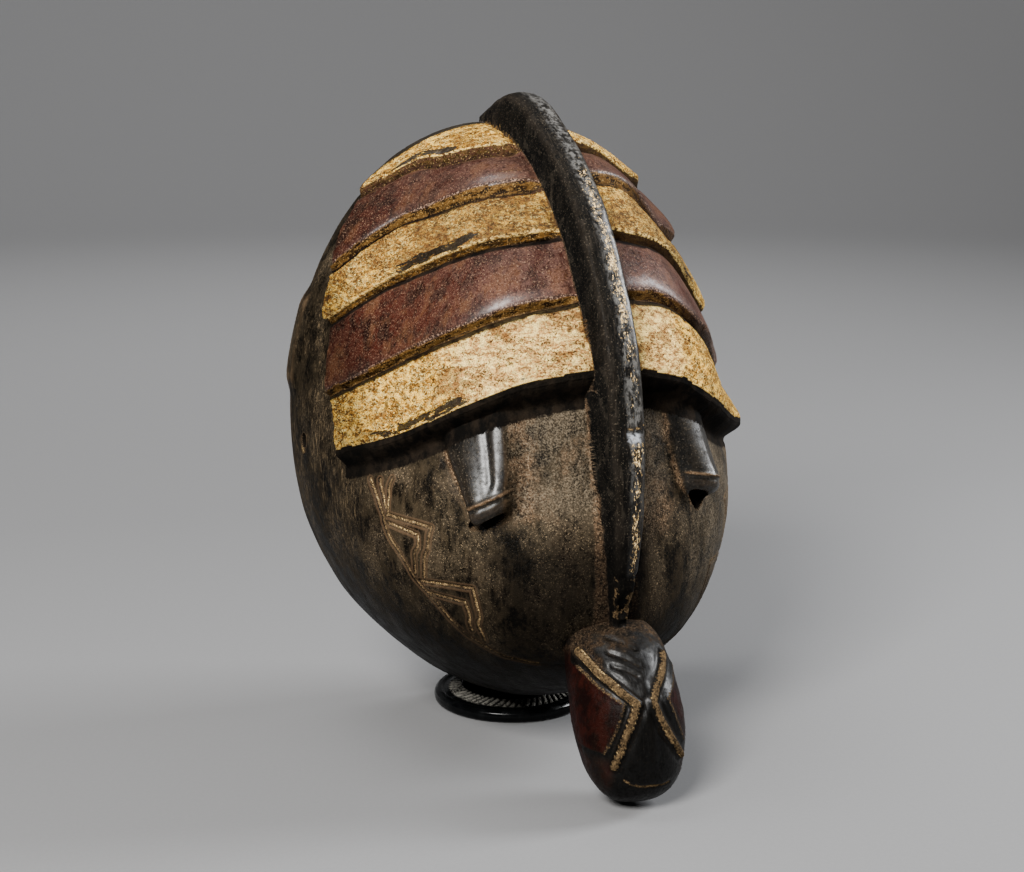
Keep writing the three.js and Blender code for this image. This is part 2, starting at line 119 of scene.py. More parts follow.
# Zigzag border on the cheeks: degrees from the middle plane and heights
BORDER_LINES = [
    [(57.9, 138.6), (54.8, 122.7), (53.4, 114.2), (50.8, 103.5), (48.9, 95.2), (46.6, 89.1),
     (43.2, 78.7), (39.6, 71.7), (33.9, 64.4), (30.5, 60.9), (22, 58)],
    [(51.9, 140.8), (54, 123.9)],
    [(55, 139), (54.1, 127.1)],
    [(53.7, 124.3), (42.7, 122.1), (46.3, 97)],
    [(53.4, 120), (45.8, 117.1), (48.5, 97.8)],
    [(47.6, 94.8), (35, 95.8), (35.4, 69.8)],
    [(46.5, 90), (37.8, 88.6), (37.7, 74.5)],
]
FAINT_LINES = [[(35.1, 67.6), (23.4, 70.8), (20.6, 65.8), (14.5, 60.1)], [(22, 58), (12.3, 56.7)]]
LINE_HALF, LINE_DEPTH = 1.5, 1.0

# Middle bar: crest line and half width from behind to below, and half of its section
CREST_Y = [26, 12, 0, -13, -34, -50, -70, -88, -101, -110, -118, -127, -132.5, -136.5, -140, -142.5,
           -145, -146.5, -146, -144.5, -142.5, -139, -136]
CREST_Z = [302, 307, 311.3, 313.8, 309.2, 301.4, 289.8, 276, 264, 253, 241, 226, 214, 203, 190, 176,
           160, 145, 128, 114, 101, 87, 75]
BAR_HALF = [8, 8.2, 8.4, 8.5, 8.5, 8.5, 8.5, 8.5, 8.5, 8.5, 8.5, 8.5, 8.6, 8.7, 8.8, 8.6, 8.2, 7.6,
            7, 6.4, 5.6, 4.6, 3.6]
BAR_DEPTH, BAR_ROWS = 30.0, 260
BAR_SIDE = [(1.09, -BAR_DEPTH), (1.07, -24), (1.055, -18), (1.04, -14), (1.03, -11.5), (1.02, -9),
            (1.01, -7), (1, -5.4), (0.985, -4.1), (0.965, -3.1), (0.93, -2.2), (0.875, -1.5),
            (0.79, -0.95), (0.66, -0.55), (0.48, -0.28), (0.25, -0.08)]
SCAR_Z, DAMAGE_LOW, DAMAGE_HIGH = 170.5, 77, 107

# Animal head: levels from crown to muzzle, and lines on its front as places across and heights
HEAD_LOW, HEAD_HIGH, HEAD_SQUARE = 2.6, 80.0, 0.92
HEAD_ROWS, HEAD_AROUND = 116, 112
HEAD_Z = [80, 77, 71, 62, 51, 40, 29, 19, 11, 5.6, 2.6]
HEAD_FRONT = [-131, -140, -151, -160.5, -167, -170.5, -172, -171.5, -168.5, -163.5, -157]
HEAD_BACK = [-122, -112, -107, -109, -115, -121, -127, -133, -140, -146, -153]
HEAD_HALF = [7, 16, 21.5, 23.5, 25, 25.5, 25, 23, 19, 13.5, 5]
CORDS = [
    [(-20.9, 69.8), (-17.2, 63.4), (-10.8, 57.2), (-5.6, 52.4), (-9, 44.6), (-13.2, 34.9),
     (-16.4, 24.8)],
    [(15.5, 68), (11.5, 63.5), (6, 58.3), (2, 53), (4.6, 45.4), (10.6, 35.6), (16.8, 26)],
]
PLANE_EDGES = [
    [(-22.5, 63.8), (-18.1, 57.9), (-10.6, 52.2), (-14.4, 42.6), (-19.6, 30.5)],
    [(21.5, 62), (17, 57.5), (10.5, 52.6), (13.6, 44), (19, 32)],
]
WRINKLES = [[(-9, 76.5), (-5, 75), (0.5, 72.6)], [(-11, 71.5), (-6, 70), (0, 67)],
            [(-11.5, 66.8), (-7, 65.8), (-2, 63)]]
MUZZLE_LINE = [(-12.5, 18.5), (-9, 16.4), (-5.5, 15.3), (0, 15.1), (5, 14.4), (10, 14.8)]
FOREHEAD_CUT = [(7.2, 58.6), (7.2, 55.4)]

# Base: profile as radius and height, with the steps between its corners, and the notched ring
BASE_PROFILE = [(0, 0), (38.6, 0), (40.1, 1.2), (40.5, 3.2), (40.1, 5.2), (38.6, 6.6), (36.8, 6.7),
                (35.6, 5.7), (33.2, 6.2), (26.5, 8.1), (25, 8.7), (0, 8.7)]
BASE_STEPS = [8, 5, 6, 6, 6, 6, 5, 8, 26, 6, 5]
BASE_AROUND, BASE_TOP = 432, 8.7
NOTCHES, NOTCH_INNER, NOTCH_OUTER = 54, 25.6, 33.2

# Lattice over the outside: place across where the cap ends, places up of the band edges, cells
U_CAP = 0.72
V_KNOTS = np.array([0, 50, 56, 61, 66, 71, 82]) / 82.0
COUNT_U, COUNT_V, LEVELS = 70, 80, 3
POLE = 0.012

# Rounds of evening for the fine and the wide bend, and the angles in degrees that stay sharp
FINE_STEPS, WIDE_STEPS = 5, 24
MASK_SHARP, BASE_SHARP = 55, 50

# Camera fitted to the photograph
CAMERA_AZIMUTH, CAMERA_PITCH, CAMERA_REACH, FOCAL_PIXELS = -21.5, 12.3, 1050.0, 2000.0
ORIGIN_PIXEL = (511.5, 697.0)
IMAGE = (1024, 872)
SENSOR_WIDTH = 36

# Studio, in metres: floor, sky, and lamps with place, target, size, power and colour
FLOOR_FLAT, FLOOR_BEND, FLOOR_AROUND = 2.2, 1.2, 96
FLOOR_DARK, FLOOR_PALE = (0.102, 0.102, 0.104), (0.118, 0.118, 0.12)
SKY_COLOUR, SKY_STRENGTH = (0.9, 0.93, 1.0), 0.16
LAMPS = [
    ("key_left", (-1.0, -1.05, 1.2), (0, -0.05, 0.17), (0.6, 0.6), 116, (1.0, 0.985, 0.955)),
    ("right_side", (1.2, -0.2, 0.85), (0, -0.06, 0.2), (0.35, 0.7), 50, (0.97, 0.985, 1.0)),
    ("top_soft", (-0.35, 0.25, 1.7), (0, -0.03, 0.1), (0.8, 0.8), 24, (1, 1, 1)),
    ("back_wall", (0.25, 0.9, 1.5), (0.5, 3.1, 0.75), (1.2, 0.8), 62, (1, 1, 1)),
]


# Small helpers
def lerp(a, b, t):
    return a + (b - a) * t


def smooth(t):
    t = np.clip(t, 0, 1)
    return t * t * (3 - 2 * t)


def ramp(value, start, reach):
    """Eases from 0 at start to 1 a reach further on."""
    return smooth((value - start) / reach)


def bell(d, width):
    return np.exp(-(d / width) ** 2)


def hashed(i, j, k, seed):
    """Even but scattered number from 0 to 1 for a place of whole numbers."""
    h = (i * 73856093) ^ (j * 19349663) ^ (k * 83492791) ^ (seed * 40503 + 1013)
    h = ((h ^ (h >> 13)) * 1274126177) & 0xFFFFFFFF
    h = ((h ^ (h >> 16)) * 668265263) & 0xFFFFFFFF
    return ((h ^ (h >> 15)) & 0xFFFF) / 65535.0


def noise(p, size, seed=0, stretch=(1, 1, 1)):
    """Smooth value noise from -1 to 1 at points p in millimetres."""
    q = p / (size * np.array(stretch, float)) + NOISE_SHIFT
    base = np.floor(q)
    f = q - base
    f = f * f * f * (f * (f * 6 - 15) + 10)
    cell = base.astype(np.int64)
    total = 0
    for a, b, c in np.ndindex(2, 2, 2):
        weight = 1
        for axis, step in enumerate((a, b, c)):
            weight = weight * (f[..., axis] if step else 1 - f[..., axis])
        total = total + weight * hashed(cell[..., 0] + a, cell[..., 1] + b, cell[..., 2] + c, seed)
    return total * 2 - 1


def layered(p, size, octaves, seed=0, stretch=(1, 1, 1)):
    """Noise with finer and fainter layers of itself."""
    total, weight, sum_weight = 0, 1.0, 0.0
    for n in range(octaves):
        total = total + weight * noise(p, size / 2 ** n, seed + 17 * n, stretch)
        sum_weight += weight
        weight *= 0.55
    return total / sum_weight


def curve(xs, ys):
    """Monotone cubic through the points xs, ys."""
    xs, ys = np.array(xs, float), np.array(ys, float)
    slope = np.diff(ys) / np.diff(xs)
    tangent = np.concatenate([slope[:1], np.zeros(len(xs) - 2), slope[-1:]])
    for i in range(1, len(xs) - 1):
        if slope[i - 1] * slope[i] > 0:
            tangent[i] = 2 * slope[i - 1] * slope[i] / (slope[i - 1] + slope[i])

    def value(x):
        x = np.asarray(x, float)
        i = np.clip(np.searchsorted(xs, x, side="left") - 1, 0, len(xs) - 2)
        h = xs[i + 1] - xs[i]
        t = np.clip((x - xs[i]) / h, 0, 1)
        return ((1 + 2 * t) * (1 - t) ** 2 * ys[i] + t * (1 - t) ** 2 * h * tangent[i]
                + t * t * (3 - 2 * t) * ys[i + 1] + t * t * (t - 1) * h * tangent[i + 1])

    return value


def columns(*values):
    """Numbers side by side, as the last axis of an array."""
    return np.stack(np.broadcast_arrays(*values), -1)


# Shape of the bare body
MID_Z, HALF_Z = (BODY_BOTTOM + BODY_TOP) / 2, (BODY_TOP - BODY_BOTTOM) / 2


def level_round(z):
    return np.sqrt(np.maximum(0, 1 - ((z - MID_Z) / HALF_Z) ** 2))


def depth_curve():
    """Depth of the body divided by the roundness of its level, so that the poles stay round."""
    z, y = np.array(PROFILE_Z, float), np.array(PROFILE_Y, float)
    ratio = (RIM_Y - y[1:-1]) / level_round(z[1:-1])
    return curve((z - MID_Z) / HALF_Z, np.pad(ratio, 1, mode="edge"))


depth_ratio = depth_curve()
inner_shape = {side: curve(INNER_U, INNER_SHAPE[side]) for side in SIDES}
left_curves = [curve(BAND_SHARES, heights) for heights in LEFT_HEIGHTS]
right_curves = [curve(BAND_SHARES, heights) for heights in RIGHT_HEIGHTS]


def body_point(angle, z, inset=0.0):
    bottom, top = BODY_BOTTOM + inset, BODY_TOP - inset
    t = (z - (bottom + top) / 2) / ((top - bottom) / 2)
    roundness = np.sqrt(np.maximum(0, 1 - t * t))
    jaw = 1 - JAW_NARROW * ramp(z, 112, -60) - CHIN_NARROW * ramp(z, 66, -44)
    half = (RIM_HALF_WIDTH * jaw - inset) * roundness
    depth = (depth_ratio(t) - inset) * roundness
    return columns(half * np.sin(angle), RIM_Y - depth * np.cos(angle), z * 1.0)


def body_normal(angle, z):
    safe = np.clip(z, BODY_BOTTOM + 1.5, BODY_TOP - 1.5)
    across = body_point(angle + 0.002, safe) - body_point(angle - 0.002, safe)
    up = body_point(angle, safe + 0.4) - body_point(angle, safe - 0.4)
    n = np.cross(across, up)
    return n / np.linalg.norm(n, axis=-1, keepdims=True)


def fullness(angle, z):
    """Fuller cheeks below and a shallow hollow at the temples, beside the cap."""
    deg = np.degrees(np.abs(angle))
    cheek = CHEEK_FULL * np.sin(2 * angle) ** 2 * ramp(z, 30, 40) * ramp(z, 150, -40)
    across = ramp(deg, 22, 34) * ramp(deg, np.where(angle < 0, 87, 92), -34)
    return cheek - TEMPLE_HOLLOW * across * ramp(z, 136, 40) * ramp(z, 300, -50)


def bare(angle, z):
    return body_point(angle, z) + body_normal(angle, z) * fullness(angle, z)[..., None]


def band_line(k, signed):
    """Height of the lower edge of band k at degrees from the middle plane."""
    share = np.minimum(np.abs(signed) / BAND_END[k], 1)
    return np.where(signed < 0, left_curves[k](share), right_curves[k](share))


def edge_lines(signed, p):
    """Heights of the five lower edges with the unevenness of hand work."""
    lines = []
    for k in range(BANDS):
        wobble = 0.8 * noise(p, 26, 40 + k) + 0.25 * noise(p, 8, 50 + k)
        nick = ramp(noise(p, 9, 60 + k), 0.5, 0.3) * 0.8
        lines.append(band_line(k, signed) + wobble + nick)
    return lines


def walk(points, step):
    """Points at most a step apart along a polyline of two numbers each."""
    out = []
    for a, b in zip(points[:-1], points[1:]):
        n = max(2, int(math.dist(a, b) / step))
        for i in range(n):
            out.append(lerp(np.array(a, float), np.array(b, float), i / n))
    out.append(np.array(points[-1], float))
    return np.array(out)


def nearest(points, samples, reach):
    """Distance from each point to the closest sample, no more than reach."""
    flat = points.reshape(-1, 3)
    found = np.full(len(flat), reach, float)
    low, high = samples.min(0) - reach, samples.max(0) + reach
    close = np.nonzero(np.all((flat > low) & (flat < high), axis=1))[0]
    for start in range(0, len(close), CHUNK):
        part = close[start:start + CHUNK]
        away = flat[part][:, None, :] - samples[None, :, :]
        found[part] = np.minimum(reach, np.sqrt((away ** 2).sum(-1)).min(1))
    return found.reshape(points.shape[:-1])


def border_samples(lines):
    """Points on the bare body along the zigzag lines of both cheeks."""
    parts = []
    for side in SIDES:
        for line in lines:
            deg, z = walk(line, 0.4).T
            wander = 0.5 * noise(columns(deg, z, z * 0 + side), 6, 3)
            parts.append(bare(np.radians(side * (deg + wander)), z + wander))
    return np.concatenate(parts)


DEEP_SAMPLES = border_samples(BORDER_LINES)
FAINT_SAMPLES = border_samples(FAINT_LINES)


# Carving of the outside
def hood(angle, z):
    """Height of the eye hoods, place across each and share of the way up."""
    p = body_point(angle, z)
    left = p[..., 0] < 0
    x = np.abs(p[..., 0])
    by_side = (LID_Z, LID_SLANT, EYE_X, HOOD_TOP_X, HOOD_NARROW_TOP)
    lid, slant, eye_x, top_x, narrow = [np.where(left, d[LEFT], d[RIGHT]) for d in by_side]
    span = HOOD_TOP_Z - lid
    share = (z - lid) / span
    for _ in range(3):
        half = np.interp(share, HOOD_SHARE, HOOD_HALF)
        half = half * (1 - narrow * np.clip(share, 0, 1))
        middle = lerp(eye_x, top_x, share)
        u = (x - middle) / half
        share = (z + slant * np.clip(u, -1.2, 1.2) * half - lid) / span
    proud = np.interp(share, HOOD_SHARE, HOOD_PROUD)
    reach = np.where(left, np.interp(share, OUTER_SHARE, OUTER_REACH), 1.0)
    outer, inner = np.clip(u / reach, 0, 1), np.clip(-u, 0, INNER_U[-1])
    inside = np.where(left, inner_shape[LEFT](inner), inner_shape[RIGHT](inner))
    side_on = (1 - outer ** np.where(left, 3.0, 2.1)) ** 0.62 * (1 + 0.14 * outer * left)
    shape = np.where(u > 0, side_on, inside)
    upper = ramp(share, 0.1, 0.12)
    height = proud * shape - 0.85 * bell(u + 0.31, 0.13) * upper * left
    height = height + 0.5 * bell(share - 0.065, 0.02) * shape
    height = np.where((share < HOOD_SHARE[0]) | (share > 1.25) | (shape < 0.001), 0, height)
    return height, np.where(u > 0, u / reach, u), share


def cap_relief(signed, z, lines):
    """Relief of the brow, bands and crown, the angle where the cap ends, the number of the band,
    and the heights over its lower edge and under the next one."""
    relief = (BAND_EDGE[0] - BROW_ROUND) * ramp(z, lines[0] - BROW_CHAMFER, 9.5)
    rounding = (z - lines[0] + BROW_ROUND) / BROW_ROUND
    rounding = lerp(BAND_EDGE[0] - BROW_ROUND, BAND_EDGE[0] - EDGE_ROUND, rounding)
    relief = np.where(z > lines[0] - BROW_ROUND, rounding, relief)
    end = np.full(z.shape, float(BAND_END[0]))
    band = np.full(z.shape, -1)
    rise = np.full(z.shape, -FAR)
    room = np.full(z.shape, FAR)
    for k in range(BANDS - 1):
        top = lines[k + 1] - STEP
        f = np.clip((z - lines[k]) / (top - lines[k]), 0, 1)
        flat = lerp(BAND_EDGE[k], BAND_VALLEY[k], f) + 0.7 * np.sin(np.pi * f)
        flat = flat - EDGE_ROUND * np.exp(-np.maximum(z - lines[k], 0) / 1.1)
        climb = ramp(z, top, STEP)
        crease = bell(z - top + 0.2, 0.9)
        inside = z >= lines[k]
        relief = np.where(inside, lerp(flat, BAND_EDGE[k + 1] - EDGE_ROUND, climb) - crease, relief)
        end = np.where(inside, lerp(BAND_END[k], BAND_END[k + 1], f), end)
        band = np.where(inside, k, band)
        rise = np.where(inside, z - lines[k], rise)
        room = np.where(inside, top - z, room)
    level = np.arcsin(np.clip((z - MID_Z) / HALF_Z, -1, 1))
    first = np.arcsin(np.clip((lines[-1] - MID_Z) / HALF_Z, -1, 0.999))
    f = np.clip((level - first) / (np.pi / 2 - first), 0, 1)
    inside = z >= lines[-1]
    crown = lerp(BAND_EDGE[-1], CROWN_RELIEF, f) - LEFT_CROWN_FLAT * np.sin(np.pi * f) * (signed < 0)
    crown = crown - EDGE_ROUND * np.exp(-np.maximum(z - lines[-1], 0) / 0.8)
    relief = np.where(inside, crown, relief)
    end = np.where(inside, lerp(BAND_END[-1], CAP_TOP_END, f), end)
    band = np.where(inside, BANDS - 1, band)
    rise = np.where(inside, (z - lines[-1]) * 2.4, rise)
    return relief, end, band, rise, np.where(inside, FAR, room)


def edge_gap(z, lines, past):
    """Distance to the closest lower edge of a band, and whether the point lies above it."""
    gap = np.full(z.shape, EDGE_REACH)
    above = np.zeros(z.shape)
    for line, slope in zip(lines, EDGE_SLOPE):
        away = (z - line) * slope
        closer = (np.abs(away) < gap) & (past < 1)
        gap = np.where(closer, np.abs(away), gap)
        above = np.where(closer, away > 0, above)
    return gap, above


def tool_marks(relief, p, deg, on_cap, cream, red):
    """Relief with the grain and facets of the face and side strip, and the crust of the paint."""
    face = 1 - on_cap
    grain = layered(p, 9, 2, 80, (1, 1, 5))
    facets = noise(p, 17, 81, (1, 1, 1.6))
    strip = ramp(deg, 62, 8)
    relief = relief + face * (lerp(0.12, 0.3, strip) * grain + lerp(0.35, 0.3, strip) * facets)
    crust = layered(p, 4.2, 3, 90, (1.5, 1.5, 0.8))
    relief = relief + cream * (0.42 * crust + 0.45 * noise(p, 16, 91))
    relief = relief + red * (0.12 * crust + 0.5 * noise(p, 20, 92))
    return relief - 0.5 * ramp(layered(p, 7, 2, 93), 0.38, 0.14) * cream


def carve(angle, z):
    """Relief over the bare body, and the marks that say how each point is finished."""
    signed = np.degrees(angle)
    deg = np.abs(signed)
    p = body_point(angle, z)
    lines = edge_lines(signed, p)
    relief, end, band, rise, room = cap_relief(signed, z, lines)

    # Ends of the bands, the lips at their right ends and the paint
    ragged = 0.5 * noise(p, 12, 70) + 0.25 * noise(p, 4, 71)
    ragged = ragged + np.choose(np.clip(band, 0, BANDS - 1), BAND_LONGER)
    share = np.minimum(deg / end, 1)
    past = deg - end - ragged
    on_cap = (1 - smooth(past / CAP_END_STEP)) * (z > lines[0] - BROW_CHAMFER)
    relief = relief * (1 - np.where(signed < 0, LEFT_END_THIN, 0) * share ** 4)
    lip = np.exp(-np.maximum(rise, 0) / 7) * ramp(signed, 22, 30) * (band > 0)
    rolled = np.exp(-np.maximum(rise, 0) / 2.2) * ramp(signed, 42, 26) * (band > 0)
    relief = (relief + 1.7 * lip - 1.9 * rolled) * on_cap
    behind = smooth((p[..., 1] - CROWN_PAINT_Y + 2 * ragged) / 2.5) * (band == BANDS - 1)
    painted = on_cap * (band >= 0) * (1 - behind)
    step_face = (room < 0.25) & (band >= 0) & (band < BANDS - 1)
    shown = np.where(step_face, band + 1, band)
    cream = painted * ((shown == 0) | (shown == 2) | (shown == 4))
    red = painted * ((shown == 1) | (shown == 3))

    near_bar = (1 - ramp(np.abs(p[..., 0]), 9, 5)) * (z > lines[0] - 0.5)
    relief = lerp(relief, np.interp(z, BESIDE_Z, BESIDE), near_bar)
    gap, above = edge_gap(z, lines, past)
    relief = tool_marks(relief, p, deg, on_cap, cream, red)
    rim_lip = LIP_PROUD * ramp(deg, 84, 2.5) * ramp(z, 165, 12) * ramp(z, 222, -12)
    relief = relief + rim_lip

    # Eye hoods
    lift, u, up = hood(angle, z)
    on_hood = (lift > 0.05) * (z < lines[0] - 2)
    under_brow = ramp(z, lines[0] - 1, -4)
    relief = np.where(on_hood, np.maximum(relief, lift), relief)
    around = ramp(np.abs(u), 1.75, -0.6) * ramp(up, -0.36, 0.12) * ramp(up, 1.2, -0.3)
    relief = relief - 0.5 * bell(u - 1.13, 0.12) * around * under_brow * (up > -0.05)

    # Zigzag border
    surface = bare(angle, z)
    deep, faint = [nearest(surface, samples, 4.0) for samples in (DEEP_SAMPLES, FAINT_SAMPLES)]
    worn = 0.75 + 0.35 * noise(p, 11, 100)
    groove = smooth(1 - deep / LINE_HALF) * worn + 0.35 * smooth(1 - faint / LINE_HALF) * worn
    relief = relief - LINE_DEPTH * groove
    relief = relief + 0.25 * bell(deep - LINE_HALF - 0.3, 0.5)

    # Rounded rim
    to_rim = np.clip(RIM_Y - p[..., 1], 0, RIM_ROUND)
    relief = relief - (RIM_ROUND - np.sqrt(RIM_ROUND ** 2 - (RIM_ROUND - to_rim) ** 2)) * (deg > 70)

    # painted shadow under the brow: this mark reaches 8 mm below the start of the chamfer, onto the face, and
    # comes out black
    brow = smooth((z - lines[0] + BROW_CHAMFER + 8) / 9) * (band < 0) * (deg < end + 1)
    marks = {
        "cream": cream, "red": red, "room": room, "band": band, "step": step_face, "on_cap": on_cap,
        "gap": gap, "above": above, "groove": groove, "hood": on_hood, "u": u, "up": up, "brow": brow,
    }
    return relief, marks, p


# Lattice over the outside, split further where the carving is fine
def spread(u, v):
    """Angle and height of the lattice place u, v."""
    end = np.interp(v, V_KNOTS, [BAND_END[0], *BAND_END, CAP_TOP_END])
    a = np.abs(u)
    deg = np.where(a <= U_CAP, a / U_CAP * end, end + (a - U_CAP) / (1 - U_CAP) * (90 - end))
    lines = [band_line(k, deg * np.where(u < 0, -1, 1)) for k in range(BANDS)]
    low = np.arcsin((lines[0] - MID_Z) / HALF_Z)
    high = np.arcsin((lines[-1] - MID_Z) / HALF_Z)
    z = MID_Z + HALF_Z * np.sin(lerp(-np.pi / 2 + POLE, low, np.clip(v / V_KNOTS[1], 0, 1)))
    for i in range(BANDS - 1):
        start, finish = V_KNOTS[i + 1:i + 3]
        t = (v - start) / (finish - start)
        z = np.where(v > start, lerp(lines[i], lines[i + 1], np.clip(t, 0, 1)), z)
    start = V_KNOTS[BANDS]
    t = np.clip((v - start) / (1 - start), 0, 1)
    z = np.where(v > start, MID_Z + HALF_Z * np.sin(lerp(high, np.pi / 2 - POLE, t)), z)
    return np.radians(deg) * np.sign(u), z


def wanted_size(angle, z):
    """Largest cell, in millimetres, that still shows what is carved there."""
    deg = np.degrees(np.abs(angle))
    size = np.full(z.shape, 3.1)
    ends = BAND_END + [CAP_TOP_END]
    left_end, right_end = [np.interp(z, [row[-1] for row in heights] + [BODY_TOP - 0.5], ends)
                           for heights in (LEFT_HEIGHTS, RIGHT_HEIGHTS)]
    end = np.where(angle < 0, left_end, right_end)
    lines = edge_lines(np.degrees(angle), body_point(angle, z))
    capped = (z > lines[0] - 12) & (deg < end + 3)
    size = np.where(capped, 2.2, size)
    cream = ((z > lines[0]) & (z < lines[1])) | ((z > lines[2]) & (z < lines[3])) | (z > lines[4])
    size = np.where(capped & cream, 1.75, size)
    for line in lines:
        near = (z > line - 3.0) & (z < line + 1.2) & (deg < end + 1.5)
        size = np.where(near, 0.85, size)
    size = np.where((np.abs(deg - end) < 2.2) & (z > lines[0] - 10), 1.1, size)
    p = bare(angle, z)
    x = np.abs(p[..., 0])
    size = np.where((x > 7) & (x < 13) & (z > 74), np.minimum(size, 1.5), size)
    size = np.where((np.hypot(p[..., 1] - 3, z - 145) < 9) & (x > SIDE_X), 1.2, size)
    eye = (x > 36) & (x < 70) & (z > 119) & (z < 180) & (z < lines[0] - 6) & (p[..., 1] < 0)
    size = np.where(eye, 1.0, size)
    size = np.where(nearest(p, DEEP_SAMPLES, 4.0) < 3.0, 0.85, size)
    return np.where((nearest(p, FAINT_SAMPLES, 4.0) < 2.5) & (size > 1.4), 1.4, size)


def grow(cells):
    """Marks the neighbours of the marked cells too."""
    rows, count = cells.shape
    padded = np.pad(cells, 1)
    out = np.zeros_like(cells)
    for dy, dx in np.ndindex(3, 3):
        out |= padded[dy:dy + rows, dx:dx + count]
    return out


def split_cells():
    """Cells of each level that are split in four, with neighbours no more than a level apart."""
    split = []
    for level in range(LEVELS):
        n_u, n_v = COUNT_U << level, COUNT_V << level
        v, u = np.meshgrid((np.arange(n_v) + 0.5) / n_v, (np.arange(n_u) + 0.5) / n_u * 2 - 1,
                           indexing="ij")
        du, dv = 1.0 / n_u, 0.5 / n_v
        wide = np.linalg.norm(bare(*spread(u + du, v)) - bare(*spread(u - du, v)), axis=-1)
        high = np.linalg.norm(bare(*spread(u, v + dv)) - bare(*spread(u, v - dv)), axis=-1)
        split.append(np.sqrt(wide * high) > wanted_size(*spread(u, v)))
    for level in range(LEVELS - 1, 0, -1):
        fours = (COUNT_V << (level - 1), 2, COUNT_U << (level - 1), 2)
        split[level - 1] |= grow(split[level]).reshape(fours).any((1, 3))
    return split


def lattice():
    """Places of the points, cells as rows of point numbers, and the points round the border."""
    split = split_cells()
    fine = 1 << LEVELS
    used = np.zeros((COUNT_V * fine + 1, COUNT_U * fine + 1), bool)
    there = np.ones((COUNT_V, COUNT_U), bool)
    leaves = []
    for level in range(LEVELS + 1):
        parted = there & split[level] if level < LEVELS else np.zeros_like(there)
        j, i = np.nonzero(there & ~parted)
        s = fine >> level
        leaves.append((j * s, i * s, s))
        for dj, di in ((0, 0), (0, s), (s, 0), (s, s)):
            used[j * s + dj, i * s + di] = True
        there = np.repeat(np.repeat(parted, 2, 0), 2, 1)
    number = np.full(used.shape, -1)
    number[used] = np.arange(used.sum())
    rows = []
    for j, i, s in leaves:
        h = s // 2
        ring = [(0, 0), (0, h), (0, s), (h, s), (s, s), (s, h), (s, 0), (h, 0)]
        corners = [number[j + dj, i + di] for dj, di in ring]
        if s == 1:
            corners[1::2] = [np.full(len(j), -1)] * 4
        rows.append(np.stack(corners, 1))
    jj, ii = np.nonzero(used)
    v = jj / (COUNT_V * fine)
    u = ii / (COUNT_U * fine) * 2 - 1
    border = np.concatenate([number[0, :], number[:, -1], number[-1, ::-1], number[::-1, 0]])
    border = border[border >= 0]
    return u, v, np.concatenate(rows), border[border != np.roll(border, -1)]


# Meshes
def make_mesh(name, points, table, extra):
    """Mesh of points in millimetres from rows of corner numbers, where -1 is no corner, and from
    extra polygons."""
    corners = np.concatenate([table[table >= 0], *extra])
    lengths = np.concatenate([(table >= 0).sum(1), [len(polygon) for polygon in extra]])
    starts = np.concatenate([[0], np.cumsum(lengths)[:-1]])
    mesh = bpy.data.meshes.new(name)
    mesh.vertices.add(len(points))
    mesh.vertices.foreach_set("co", (points * MM).astype(np.float32).ravel())
    mesh.loops.add(len(corners))
    mesh.loops.foreach_set("vertex_index", corners.astype(np.int32))
    mesh.polygons.add(len(lengths))
    mesh.polygons.foreach_set("loop_start", starts.astype(np.int32))
    mesh.polygons.foreach_set("loop_total", lengths.astype(np.int32))
    mesh.update(calc_edges=True)
    mesh.validate()
    return mesh


def read(things, what, width, kind=np.float32):
    """Numbers of a row of Blender's things, as an array with a row of some width for each."""
    values = np.zeros(len(things) * width, kind)
    things.foreach_get(what, values)
    return values.reshape(-1, width)


def turn_out(mesh):
    """Turns the faces round if they look inwards."""
    mesh.calc_loop_triangles()
    triangles = read(mesh.loop_triangles, "vertices", 3, np.int32)
    q = read(mesh.vertices, "co", 3)[triangles].astype(float)
    if np.einsum("ij,ij->i", q[:, 0], np.cross(q[:, 1], q[:, 2])).sum() < 0:
        mesh.flip_normals()
    return mesh


def paint(mesh, name, *channels):
    """Stores four numbers from 0 to 1 at each point of a mesh."""
    values = columns(np.zeros(len(mesh.vertices)), *[np.ravel(c) for c in channels])[:, 1:]
    layer = mesh.attributes.new(name, "FLOAT_COLOR", "POINT")
    layer.data.foreach_set("color", np.clip(values, 0, 1).astype(np.float32).ravel())


def solid(name, mesh):
    made = bpy.data.objects.new(name, turn_out(mesh))
    bpy.context.scene.collection.objects.link(made)
    return made


def ring_table(rows, count):
    """Quads of rows of count points each, closed around."""
    r, c = np.meshgrid(np.arange(rows - 1), np.arange(count), indexing="ij")
    n = (c + 1) % count
    return columns(r * count + c, r * count + n, (r + 1) * count + n, (r + 1) * count + c).reshape(-1, 4)


def tube(name, rings):
    """Closed mesh from rings of points, with a flat polygon at each end."""
    rows, count = rings.shape[:2]
    caps = [np.arange(count), (rows - 1) * count + np.arange(count)[::-1]]
    return make_mesh(name, rings.reshape(-1, 3), ring_table(rows, count)[:, ::-1], caps)


def circle(count):
    """Even angles all the way round."""
    return np.linspace(0, 2 * np.pi, count, endpoint=False)


def body_mesh():
    u, v, table, border = lattice()
    angle, z = spread(u, v)
    relief, marks, p = carve(angle, z)
    points = p + body_normal(angle, z) * (relief + fullness(angle, z))[:, None]
    points[np.abs(u) > 0.9999, 1] = RIM_Y
    points[:, 1] = np.minimum(points[:, 1], RIM_Y)
    points[:, 2] = np.maximum(points[:, 2], SEAT_Z)
    mesh = make_mesh("body", points, table, [border[::-1]])
    body_marks(mesh, np.degrees(angle), z, p, marks)
    return mesh


